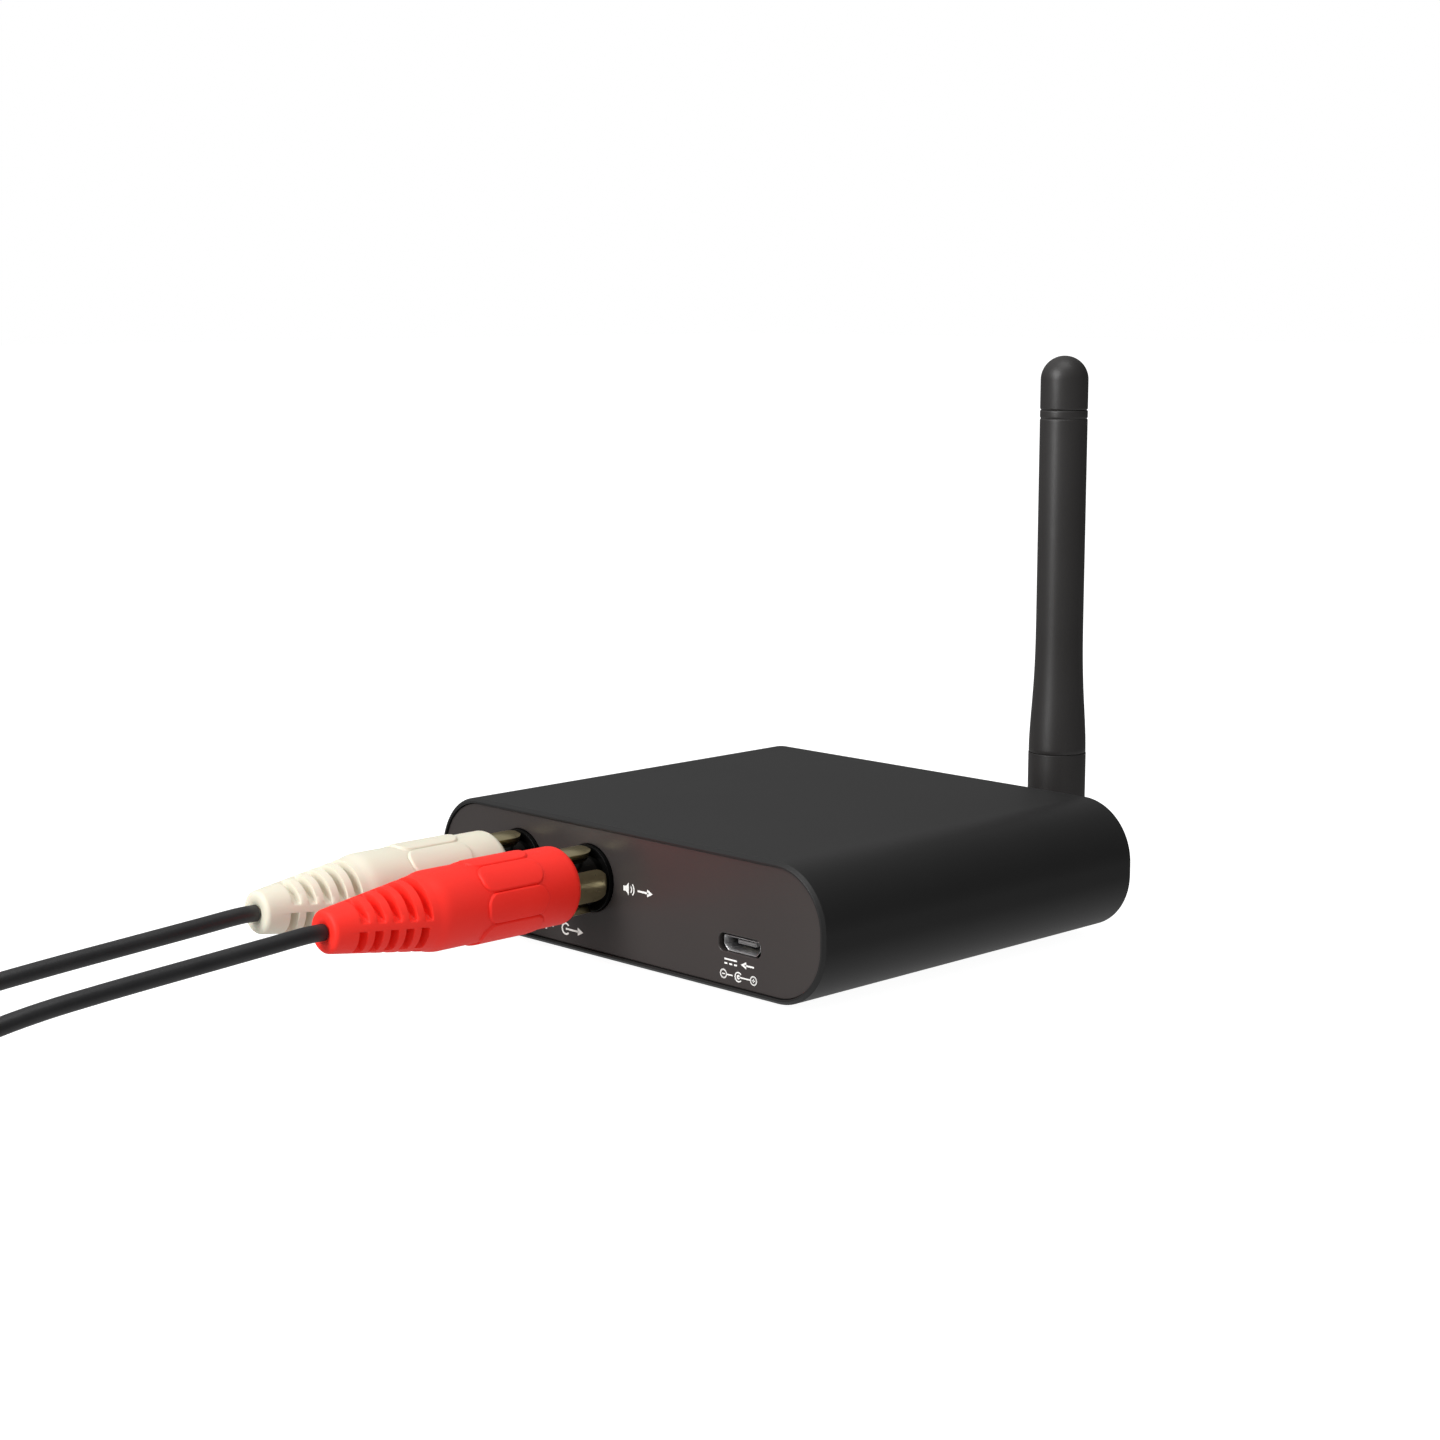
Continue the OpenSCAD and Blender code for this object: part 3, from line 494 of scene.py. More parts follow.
# Three sleeves inside one another, from the barrel's tip to its back
BARREL_TIP, BARREL_LEN, FILLING_IN, CONTACT_IN = -43.85, 19, 0.2, 0.5
barrel = [(JACK_BORE_R, 0, 0.15), (JACK_R, 0, 0.35), (JACK_R, BARREL_LEN, 0.1),
          (JACK_BORE_R, BARREL_LEN, 0.1)]
barrel_filling = [(CONTACT_R, FILLING_IN, 0.1), (JACK_BORE_R, FILLING_IN, 0.1),
                  (JACK_BORE_R, BARREL_LEN, 0.1), (CONTACT_R, BARREL_LEN, 0.1)]
contact = [(PIN_R + FIT, CONTACT_IN, 0.15), (CONTACT_R, CONTACT_IN, 0.1), (CONTACT_R, BARREL_LEN, 0.1),
           (PIN_R + FIT, BARREL_LEN, 0.1)]
for side, x in LINES.items():
    place = along_y(x, BARREL_TIP, AXIS_Z)
    piece(mesh_object(f"{side}_barrel", [turned(barrel, place)]), "case", "dark_nickel",
          [f"{side}_jack_barrel"])
    piece(mesh_object(f"{side}_barrel_filling", [turned(barrel_filling, place)]), "case", "white_insulator",
          [f"{side}_jack_insulator"])
    piece(mesh_object(f"{side}_centre_contact", [turned(contact, place)]), "case", "gold_plating",
          [f"{side}_jack_contact"])

# ---- USB socket ----

USB_HALF_W, USB_HALF_H, USB_FLOOR_HALF_W, USB_SLANT_TOP, USB_MID_Z = 3.8, 1.2, 2.9, -0.25, 8.1


def usb_ring(inset, y):
    """The socket's mouth: wide above, with its two lower corners cut off on the slant."""
    half_w, half_h, floor_half_w = USB_HALF_W - inset, USB_HALF_H - inset, USB_FLOOR_HALF_W - inset / 2
    corners = [(half_w, half_h, 0.3), (-half_w, half_h, 0.3), (-half_w, USB_SLANT_TOP, 0.3),
               (-floor_half_w, -half_h, 0.3), (floor_half_w, -half_h, 0.3), (half_w, USB_SLANT_TOP, 0.3)]
    return [(USB_X + x, y, USB_MID_Z + z) for x, z in rounded(corners, steps=4, support=0.05)]


# Inset and distance along Y, outside and then inside: the shell's lips open outwards, and its back is closed
usb_profile = [(0.3, -28.65), (0.25, -33.7), (0.18, -34.2), (0.02, -34.68), (0.03, -34.75), (0.1, -34.78),
               (0.18, -34.72), (0.36, -34.25), (0.5, -33.7), (0.52, -33.0), (0.55, -28.95)]
usb_rings = [usb_ring(inset, y) for inset, y in usb_profile]
piece(mesh_object("usb_shell", [loft(usb_rings)], crease=60), "case", "tinned_steel", ["usb_socket_shell"])
# The tongue in the mouth, and five contact strips along its underside
USB_TONGUE_W, USB_TONGUE_T, USB_TONGUE_LEN, USB_TONGUE_TIP, USB_TONGUE_Z = 3.8, 0.6, 4.8, -33.75, 8.3
tongue = plate([round_rect(USB_TONGUE_W, USB_TONGUE_T, 0.15, USB_X, USB_TONGUE_Z)], USB_TONGUE_LEN, 0.12,
               along_y(0, USB_TONGUE_TIP, 0))
piece(mesh_object("usb_tongue", [tongue]), "case", "socket_plastic", ["usb_socket_tongue"], "grey_plastic")
STRIP_W, STRIP_T, STRIP_LEN, STRIP_TIP, STRIP_Z, STRIP_PITCH = 0.36, 0.1, 3.6, -33.5, 7.98, 0.65
strips = [plate([round_rect(STRIP_W, STRIP_T, 0.04, USB_X + STRIP_PITCH * k, STRIP_Z)], STRIP_LEN, 0.03,
                along_y(0, STRIP_TIP, 0)) for k in (-2, -1, 0, 1, 2)]
piece(mesh_object("usb_contacts", strips), "case", "gold_plating")

# ---- marks printed on the rear panel: signs without words ----


def polygon(points):
    return lambda inset: points


def bar(x0, x1, z0, z1):
    return [polygon([(x0, z0), (x1, z0), (x1, z1), (x0, z1)])]


def disc(x, z, r, bore=0.0):
    return [circle(r, x, z, steps=32)] + ([circle(bore, x, z, steps=32, hole=True)] if bore else [])


def bow(x, z, r, thick, start, end):
    """Part of a ring, from one angle to another."""
    turns = [math.radians(start + (end - start) * k / 12) for k in range(13)]
    outer = [(x + r * math.cos(t), z + r * math.sin(t)) for t in turns]
    inner = [(x + (r - thick) * math.cos(t), z + (r - thick) * math.sin(t)) for t in reversed(turns)]
    return [polygon(outer + inner)]


def loudspeaker(x, z, size, facing):
    """A loudspeaker with two waves in front of it; facing is 1 for +X and -1 for -X."""
    s, f = size, facing
    horn = [(x - 0.55 * s * f, z - 0.2 * s), (x - 0.25 * s * f, z - 0.2 * s), (x + 0.05 * s * f, z - 0.5 * s),
            (x + 0.05 * s * f, z + 0.5 * s), (x - 0.25 * s * f, z + 0.2 * s), (x - 0.55 * s * f, z + 0.2 * s)]
    mid = 0 if f > 0 else 180
    waves = [bow(x, z, r * s, 0.11 * s, mid - 42, mid + 42) for r in (0.42, 0.68)]
    return [[polygon(horn)]] + waves


def arrow(x, z, shaft, head, tip, thick, spread):
    """An arrow from x. Its shaft's end, its head and its tip lie at distances from x, negative towards -X."""
    start, end = sorted((x, x + shaft))
    return [bar(start, end, z - thick / 2, z + thick / 2),
            [polygon([(x + head, z - spread), (x + tip, z), (x + head, z + spread)])]]


# A loudspeaker and an arrow beside each jack, on the side away from the other one
CHANNEL_Z = 12.85
marks = loudspeaker(1.8, CHANNEL_Z, 2.0, 1) + arrow(3.9, CHANNEL_Z, 2.4, 2.1, 3.3, 0.3, 0.6)
marks += loudspeaker(-32.1, CHANNEL_Z, 2.0, -1) + arrow(-34.2, CHANNEL_Z, -2.4, -2.1, -3.3, 0.3, 0.6)

# Sound out: a wave's bars, then an arrow leaving a ring
WAVE_X, WAVE_PITCH, WAVE_BAR = -20.8, 0.8, 0.42
OUT_X, OUT_Z = -12.7, 4.15
for k, height in enumerate((0.5, 1.1, 1.8, 0.9, 1.6, 0.7, 0.4)):
    start = WAVE_X + WAVE_PITCH * k
    marks.append(bar(start, start + WAVE_BAR, OUT_Z - height / 2, OUT_Z + height / 2))
marks.append(bow(OUT_X, OUT_Z, 1.0, 0.28, 40, 320))
marks += arrow(OUT_X, OUT_Z, 3.0, 2.8, 4.1, 0.3, 0.65)

# Direct current in: a solid line over a broken one, and an arrow pointing in
marks.append(bar(22.6, 25.2, 5.68, 5.92))
marks += [bar(x, x + 0.6, 5.04, 5.28) for x in (22.6, 23.6, 24.6)]
marks += arrow(28.7, 5.48, -1.9, -1.6, -2.7, 0.24, 0.53)

# Polarity: minus, shell, pin and plus on one line
MINUS_X, CENTRE_X, PLUS_X, POLE_Z, POLE_R = 22.4, 25.5, 28.6, 3.5, 0.72
for x in (MINUS_X, PLUS_X):
    marks += [disc(x, POLE_Z, POLE_R, 0.52), bar(x - 0.3, x + 0.3, POLE_Z - 0.08, POLE_Z + 0.08)]
marks.append(bar(PLUS_X - 0.08, PLUS_X + 0.08, POLE_Z - 0.3, POLE_Z + 0.3))
marks += [bow(CENTRE_X, POLE_Z, 0.8, 0.2, 40, 320), disc(CENTRE_X, POLE_Z, 0.34),
          bar(MINUS_X + POLE_R, 24.3, POLE_Z - 0.1, POLE_Z + 0.1),
          bar(CENTRE_X, PLUS_X - POLE_R, POLE_Z - 0.1, POLE_Z + 0.1)]

PRINT_T = 0.04


def printed(loops):
    """A mark's ink, half of it sunk into the panel's face."""
    return plate(loops, PRINT_T, 0.0, along_y(0, -PANEL_Y - PRINT_T / 2, 0), steps=1)


piece(mesh_object("panel_marks", [printed(loops) for loops in marks]), "case", "white_insulator")

# ---- pairing button and status light ----

# The button has a flange behind the panel and a shallow dish for a fingertip
KNOB_BACK, KNOB_FLANGE_R, KNOB_FLANGE_T, KNOB_LEN = 32.3, 3.2, 1.2, 3.95
knob = [(0, 0, 0), (KNOB_FLANGE_R, 0, 0.15), (KNOB_FLANGE_R, KNOB_FLANGE_T, 0.15),
        (BUTTON[2], KNOB_FLANGE_T, 0.05), (BUTTON[2], KNOB_LEN, 0.35), (1.7, KNOB_LEN, 0.2),
        (1.3, KNOB_LEN - 0.13, 0.3), (0, KNOB_LEN - 0.2, 0)]
knob_skin = turned(knob, along_y(BUTTON[0], KNOB_BACK, BUTTON[1]), closed=False)
piece(mesh_object("button_cap", [knob_skin]), "button", "button_plastic", ["pair_button"])
LIGHT_BACK, LIGHT_FLANGE_R, LIGHT_FRONT = 31.25, 1.6, 35.55
light = [(0, LIGHT_BACK, 0), (LIGHT_FLANGE_R, LIGHT_BACK, 0.1), (LIGHT_FLANGE_R, SEAT_Y, 0.1),
         (PIPE[2], SEAT_Y, 0.05), (PIPE[2], LIGHT_FRONT, 0.2), (0, LIGHT_FRONT + 0.1, 0)]
light_skin = turned(light, along_y(PIPE[0], 0, PIPE[1]), closed=False)
piece(mesh_object("light_window", [light_skin]), "case", "led_lens", ["light_pipe"])

# ---- antenna ----

THREAD_R, WASHER_R, WASHER_T = 3.15, 4.6, 0.6
washer = [(THREAD_R, 0, 0.1), (WASHER_R, 0, 0.15), (WASHER_R, WASHER_T, 0.15), (THREAD_R, WASHER_T, 0.1)]
piece(mesh_object("antenna_washer", [turned(washer, along_y(ANTENNA_X, PANEL_Y, AXIS_Z))]), "case",
      "gold_plating", ["antenna_jack_washer"])

NUT_HALF, NUT_T = 4.0, 2.0


def hexagon(inset):
    reach = (NUT_HALF - inset) / math.cos(math.pi / 6)
    corners = [(reach * math.cos(math.radians(60 * k)), reach * math.sin(math.radians(60 * k)), 0.25)
               for k in range(6)]
    return rounded(corners, support=0.1)


nut_loops = [hexagon, circle(THREAD_R + FIT, hole=True)]
panel_nut = plate(nut_loops, NUT_T, 0.3, along_y(ANTENNA_X, PANEL_Y + WASHER_T, AXIS_Z))
piece(mesh_object("panel_nut", [panel_nut]), "case", "gold_plating", ["antenna_jack_nut"])

# The coupling nut: twelve flutes along its barrel, a plain collar, and its bore
NUT_R, NUT_BORE_R, STEM_BORE_R = 4.75, 3.3, 2.5
NUT_START, NUT_FLOOR, NUT_END = 38.45, 46.7, 48.05
FLUTE_START, FLUTE_END, FLUTE_RUNOUT, FLUTE_DEPTH, FLUTES = 39.1, 44.9, 0.5, 0.32, 12
NUT_SIDES = 192
nut_corners = [(NUT_BORE_R, NUT_START, 0.2), (NUT_R, NUT_START, 0.4), (NUT_R, NUT_END, 0.35),
               (STEM_BORE_R, NUT_END, 0.1), (STEM_BORE_R, NUT_FLOOR, 0.1), (NUT_BORE_R, NUT_FLOOR, 0.1)]
nut_profile = rounded(nut_corners)
extra = [FLUTE_START + (FLUTE_END - FLUTE_START) * k / 24 for k in range(25)]
first = next(i for i, (r, y) in enumerate(nut_profile) if r > NUT_R - 0.01 and y > NUT_START + 0.45)
nut_profile[first:first + 1] = [(NUT_R, y) for y in extra] + [(NUT_R, FLUTE_END + FLUTE_RUNOUT)]
nut_rings = []
for r, y in nut_profile:
    runout = ease((y - FLUTE_START) / FLUTE_RUNOUT) * ease((FLUTE_END - y) / FLUTE_RUNOUT)
    depth = FLUTE_DEPTH * runout if r > NUT_R - 0.05 else 0.0
    ring = []
    for k in range(NUT_SIDES):
        turn = 2 * math.pi * k / NUT_SIDES
        flute = max(0.0, math.cos(FLUTES * turn)) ** 1.5
        radius = r - depth * flute
        ring.append((ANTENNA_X + radius * math.cos(turn), y, AXIS_Z + radius * math.sin(turn)))
    nut_rings.append(ring)
piece(mesh_object("coupling_nut", [loft(nut_rings, closed=True)], crease=50), "case", "antenna_plastic",
      ["antenna_coupling_nut"])

# The base: a flange and a stem in the nut, a round foot, and a tongue that the rod's fork straddles
FLANGE_R, FLANGE_START, FLANGE_END = 2.8, 45.55, 46.25
STEM_R, FOOT_START, FOOT_END = 2.4, 48.35, 49.5
foot = [(0, FLANGE_START, 0), (FLANGE_R, FLANGE_START, 0.15), (FLANGE_R, FLANGE_END, 0.1),
        (STEM_R, FLANGE_END, 0.05), (STEM_R, FOOT_START, 0.05), (NUT_R, FOOT_START, 0.25),
        (NUT_R, FOOT_END, 0.25), (0, FOOT_END, 0)]
TONGUE_R, TONGUE_HALF, TONGUE_ROOT, HINGE_R = 4.2, 2.1, -5.6, 1.0


def tongue_outline(inset):
    """A tongue round the hinge, seen along X, with its root inside the foot."""
    radius = TONGUE_R - inset
    turns = [math.radians(a) for a in range(-90, 91, 5)]
    nose = [(radius * math.cos(t), radius * math.sin(t)) for t in turns]
    return [(TONGUE_ROOT, -radius)] + nose + [(TONGUE_ROOT, radius)]


base_parts = [turned(foot, along_y(ANTENNA_X, 0, AXIS_Z), closed=False),
              plate([tongue_outline, circle(HINGE_R, steps=48, hole=True)], 2 * TONGUE_HALF, 0.25,
                    along_x(ANTENNA_X - TONGUE_HALF, HINGE_Y, AXIS_Z))]
piece(mesh_object("antenna_foot", base_parts), "antenna_swivel", "antenna_plastic", ["antenna_base"])
rivet_end = [(HINGE_R, 4.55, 0.1), (0.7, 4.7, 0.1), (0, 4.72, 0)]
rivet = [(r, -h, soft) for r, h, soft in rivet_end[::-1]] + rivet_end
piece(mesh_object("hinge_rivet", [turned(rivet, along_x(ANTENNA_X, HINGE_Y, AXIS_Z), closed=False)]),
      "antenna_swivel", "hinge_steel", ["antenna_hinge_pin"])

# The rod's foot: a collar, and below it two cheeks of the same round bar, which end in a half circle
CHEEK_R, CHEEK_IN = 4.75, 2.45


def cheek(sign):
    """One side of the fork, with its edges softened; sign is 1 for +X and -1 for -X."""
    rings = []
    for h in [-CHEEK_R * math.cos(math.radians(a)) for a in range(12, 91, 6)] + [1.5, 3.0, 4.7]:
        limit = math.sqrt(max(CHEEK_R ** 2 - min(h, 0) ** 2, 0.01))
        soft = 0.2 * ease((h + CHEEK_R) / 0.5)
        outer = COLLAR_R - 0.2 + soft
        span = math.acos(CHEEK_IN / outer)
        ring = []
        for k in range(25):
            turn = span * (1 - k / 12)
            ring.append((outer * math.cos(turn), outer * math.sin(turn)))
        edge = outer * math.sin(span)
        flat = edge - 0.18
        ring += [(CHEEK_IN + 0.12, -edge + 0.02)]
        ring += [(CHEEK_IN, flat * (k / 3 - 1)) for k in range(7)]
        ring += [(CHEEK_IN + 0.12, edge - 0.02)]
        rings.append([(ANTENNA_X + sign * x, HINGE_Y + min(max(y, -limit), limit), AXIS_Z + h)
                      for x, y in ring])
    return loft(rings)


def bored(obj, radius):
    """Drills the hinge's bore through a piece."""
    drill = mesh_object("drill", [turned([(0, -8, 0), (radius, -8, 0), (radius, 8, 0), (0, 8, 0)],
                                         along_x(ANTENNA_X, HINGE_Y, AXIS_Z), sides=64, closed=False)])
    cut = obj.modifiers.new("bore", "BOOLEAN")
    cut.operation, cut.object, cut.solver = "DIFFERENCE", drill, "EXACT"
    mesh = bpy.data.meshes.new_from_object(obj.evaluated_get(bpy.context.evaluated_depsgraph_get()))
    obj.modifiers.clear()
    obj.data = mesh
    bpy.data.objects.remove(drill)
    return obj


def joined(obj, skin, crease=35):
    """Adds a closed skin to a piece's mesh."""
    bm = bmesh.new()
    bm.from_mesh(obj.data)
    points, faces = skin
    verts = [bm.verts.new(Vector(p) * MM) for p in points]
    for face in faces:
        bm.faces.new([verts[i] for i in face])
    bmesh.ops.remove_doubles(bm, verts=verts, dist=1e-7)
    bmesh.ops.recalc_face_normals(bm, faces=bm.faces)
    bm.to_mesh(obj.data)
    bm.free()
    obj.data.shade_smooth()
    obj.data.set_sharp_from_angle(angle=math.radians(crease))
    return obj


COLLAR_START, SOCKET_END = 17.75, 28.9
collar = [(0, COLLAR_START, 0), (COLLAR_R, COLLAR_START, 0.12), (COLLAR_R, SEAM_Z - 0.02, 0.05),
          (4.6, SEAM_Z, 0.05), (SOCKET_R, SEAM_Z, 0.05), (SOCKET_R, SOCKET_END, 0.1), (0, SOCKET_END, 0)]
fork = bored(mesh_object("antenna_collar", [cheek(1), cheek(-1)], crease=40), HINGE_R + FIT)
knuckle = joined(fork, turned(collar, up_z(ANTENNA_X, HINGE_Y, 0), closed=False))
piece(knuckle, "antenna_rod", "antenna_plastic", ["antenna_knuckle"])


def flare(t):
    """The rod's radius from the collar (0) up to its plain tube (1)."""
    return ROD_R + (COLLAR_R - 0.05 - ROD_R) * (0.5 - 0.5 * math.cos(math.pi * (1 - t) ** 1.7))


def groove(z):
    """A fine V-shaped groove round the rod at a height."""
    return [(ROD_R, z - 0.32), (ROD_R - 0.01, z - 0.2), (ROD_R - 0.14, z - 0.04), (ROD_R - 0.14, z + 0.04),
            (ROD_R - 0.01, z + 0.2), (ROD_R, z + 0.32)]


FLARE_START, GROOVE_GAP = 24.6, 1.45
# The tube's foot, its flare, its upper groove and the lower half of the groove where it meets the cap
rod_profile = [(SOCKET_R + FIT, SEAM_Z + 0.05), (4.5, SEAM_Z + 0.02), (4.76, SEAM_Z + 0.06)]
rod_profile += [(flare(k / 40), FLARE_START + (FLARE_Z - FLARE_START) * k / 40) for k in range(41)]
rod_profile += groove(CAP_Z - GROOVE_GAP) + groove(CAP_Z)[:3] + [(SOCKET_R + FIT, CAP_Z - 0.04)]
piece(mesh_object("antenna_tube", [lathe(rod_profile, up_z(ANTENNA_X, HINGE_Y, 0), 128, closed=True)]),
      "antenna_rod", "antenna_plastic", ["antenna_sleeve"])
dome = [(ROD_R * math.cos(math.radians(a)), TIP_Z - ROD_R + ROD_R * math.sin(math.radians(a)))
        for a in range(0, 91, 5)]
CAP_PLUG = 3
cap_profile = [(0, CAP_Z - CAP_PLUG), (SOCKET_R, CAP_Z - CAP_PLUG), (SOCKET_R, CAP_Z)]
cap_profile += groove(CAP_Z)[3:] + dome
piece(mesh_object("antenna_tip", [lathe(cap_profile, up_z(ANTENNA_X, HINGE_Y, 0), 128)]), "antenna_rod",
      "antenna_plastic", ["antenna_cap"])

# ---- phono plugs ----

# Heights are measured from the body's front face, negative towards the cord
TAPER_START, RELIEF_START, RELIEF_R, TAIL_R = -24.7, -26.9, 5.65, 3.15
NOSE_ROUND, TAIL_ROUND = 1.2, 0.6
PAD_START, PAD_END, PAD_W, PAD_CORNER, PAD_EDGE = -18.3, -7.0, 4.55, 1.9, 0.22
GROOVE_OUT, GROOVE_HALF, GROOVE_DEEP = 0.14, 0.16, 0.1
FIRST_SLOT, SLOT_PITCH, SLOT_W, SLOT_SOFT = 2.6, 2.5, 1.2, 0.09
SLOT_TURN, SLOT_WEB, SLOT_DEEP = 31.0, 2.8, 1.9
WINDOW_HALF, WINDOW_WEB, WINDOW_BACK = 1.8, 2.1, 0.5
SHELL_BACK = -6
arc_slots = [RELIEF_START - FIRST_SLOT - SLOT_PITCH * i for i in range(5)]
windows = [z - WINDOW_BACK for z in arc_slots]


def body_radius(z):
    """The moulded body's plain radius at a height behind its front face."""
    if z > -NOSE_ROUND:
        return BODY_R - NOSE_ROUND + math.sqrt(max(0.0, NOSE_ROUND ** 2 - (z + NOSE_ROUND) ** 2))
    if z > TAPER_START:
        return BODY_R
    if z > RELIEF_START:
        return BODY_R - (BODY_R - RELIEF_R) * ((TAPER_START - z) / (TAPER_START - RELIEF_START)) ** 2
    cone = RELIEF_R + (TAIL_R - RELIEF_R) * (RELIEF_START - z) / (PLUG_LEN + RELIEF_START)
    end = z + PLUG_LEN
    if end < TAIL_ROUND:
        return cone - TAIL_ROUND + math.sqrt(max(0.0, TAIL_ROUND ** 2 - (TAIL_ROUND - end) ** 2))
    return cone


def pad_rise(arc, z):
    """Height of the grip at a distance across its pad: the pad's face, its rounded edge and a fine groove."""
    across = abs(arc) - (PAD_W / 2 - PAD_CORNER)
    along = abs(z - (PAD_START + PAD_END) / 2) - ((PAD_END - PAD_START) / 2 - PAD_CORNER)
    outside = math.hypot(max(across, 0), max(along, 0)) + min(max(across, along), 0) - PAD_CORNER
    rise = (GRIP_R - BODY_R) * ease(0.5 - outside / PAD_EDGE)
    return rise - GROOVE_DEEP * ease(1 - abs(outside - GROOVE_OUT) / GROOVE_HALF)


def slot_depth(z, starts):
    """1 inside one of the slots, 0 outside, with soft edges."""
    edge = 2 * SLOT_SOFT
    return max(ease((z - s + SLOT_SOFT) / edge) * ease((s + SLOT_W + SLOT_SOFT - z) / edge) for s in starts)


def body_heights():
    """Heights of the body's rings: close together where its surface turns."""
    heights = {round(-0.02 - NOSE_ROUND * (1 - math.cos(math.radians(a))), 3) for a in range(10, 91, 8)}
    heights |= {-2.5, -4.5, -24.0, TAPER_START, -25.2, -25.8, -26.3, RELIEF_START, -27.3, -28.0, -28.7}
    # Close together at both ends of the pads, and wider apart between and behind them
    spans = ((-18.8, -16.1, 0.14), (-16.1, -9.2, 0.9), (-9.2, -6.4, 0.14), (-24.0, -18.8, 1.3))
    for start, end, step in spans:
        heights |= {round(start + step * k, 3) for k in range(int((end - start) / step) + 1)}
    for start in arc_slots + windows:
        for edge in (start, start + SLOT_W):
            heights |= {round(edge + step, 3) for step in (-0.1, -0.05, 0.0, 0.05, 0.1)}
    heights |= {-42.2, -42.6, -43.1, -43.2, -43.35, -43.5, -43.6, -43.67}
    ordered = sorted(heights, reverse=True)
    return [z for i, z in enumerate(ordered) if i == 0 or ordered[i - 1] - z > 0.02]


def plug_body(place, sides=288):
    """The moulding: a socket for the shell, the grip pads, and a relief notched from four sides."""
    turns = [2 * math.pi * k / sides for k in range(sides)]
    rings = []
    for r, z in ((0, SHELL_BACK), (4.6, SHELL_BACK), (SHELL_R + 0.01, SHELL_BACK), (SHELL_R + 0.01, -0.12),
                 (SHELL_R + 0.06, -0.04), (SHELL_R + 0.16, -0.03)):
        rings.append([place(r * math.cos(t), r * math.sin(t), z) for t in turns])
    for z in body_heights():
        base = body_radius(z)
        slotted, pierced = slot_depth(z, arc_slots), slot_depth(z, windows)
        ring = []
        for t in turns:
            r = base
            bent = t + math.radians(SLOT_TURN)
            rise, reach = abs(math.sin(bent)), abs(math.cos(bent))
            if PAD_START - 0.6 < z < PAD_END + 0.6:
                sector = (t + math.pi / 8) % (math.pi / 4) - math.pi / 8
                r += pad_rise(sector * BODY_R, z)
            if slotted and rise > SLOT_WEB / base:
                r -= min(base - SLOT_WEB / rise, SLOT_DEEP) * slotted
            if pierced and reach > 0.5:
                inside = ease((WINDOW_HALF + 0.12 - base * rise) / 0.24)
                r = min(r, base - (base - WINDOW_WEB / reach) * pierced * inside)
            ring.append(place(r * math.cos(t), r * math.sin(t), z))
        rings.append(ring)
    # The tail's end, with a shallow dimple that the cord comes out of
    for r, z in ((2.5, -PLUG_LEN), (1.55, -PLUG_LEN), (1.4, -43.5), (1.0, -43.4), (0, -43.4)):
        rings.append([place(r * math.cos(t), r * math.sin(t), z) for t in turns])
    points, faces = loft(rings)
    return points, faces[:-2]


def petal(place, middle, root=-1.4, tip=5.8, corner=2.3):
    """One springy petal of a gold shell: a curved plate with a rounded end and rounded edges."""
    half_turn = math.radians(28.2)
    outer, inner = SHELL_R, JACK_R + FIT
    rings = []
    heights = [root + (tip - corner - root) * k / 8 for k in range(9)]
    heights += [tip - corner + corner * math.sin(math.radians(a)) for a in range(8, 89, 8)]
    for i, z in enumerate(heights):
        cut = 0.0
        if z > tip - corner:
            cut = corner - math.sqrt(max(0.0, corner ** 2 - (z - tip + corner) ** 2))
        half = half_turn - cut / outer
        # Thinner towards the very tip, and turned in a little
        thin = 0.32 * ease((z - tip + 0.5) / 0.5)
        ring = []
        for k in range(17):
            ring.append((outer - thin, half * (1 - k / 8)))
        soft = [(outer - thin - 0.12, 1.012), (inner + thin + 0.12, 1.012)]
        left = [(r, -half * s) for r, s in soft]
        right = [(r, half * s) for r, s in reversed(soft)]
        back = [(inner + thin, -half * (1 - k / 8)) for k in range(17)]
        loop = ring + left + back + right
        rings.append([place(r * math.cos(middle + a), r * math.sin(middle + a), z) for r, a in loop])
    return loft(rings)


def gold_shell(place):
    """Four petals on a band that sits in the body."""
    band = [(JACK_R + FIT, SHELL_BACK, 0.05), (SHELL_R, SHELL_BACK, 0.05), (SHELL_R, -1, 0.1),
            (JACK_R + FIT, -1, 0.1)]
    return [turned(band, place, sides=128)] + [petal(place, math.pi / 2 * k) for k in range(4)]


PIN_BACK, PIN_SHOULDER = -8.9, 6.4
pin_profile = [(0, PIN_BACK), (PIN_R, PIN_BACK), (PIN_R, -2.6)]
pin_profile += [(PIN_R * math.cos(math.radians(a)), PIN_SHOULDER + PIN_R * math.sin(math.radians(a)))
                for a in range(0, 91, 6)]
DISC_FRONT = -2.4
disc_ring = [(PIN_R, SHELL_BACK, 0.05), (JACK_R + FIT, SHELL_BACK, 0.05), (JACK_R + FIT, DISC_FRONT, 0.1),
             (PIN_R, DISC_FRONT, 0.15)]

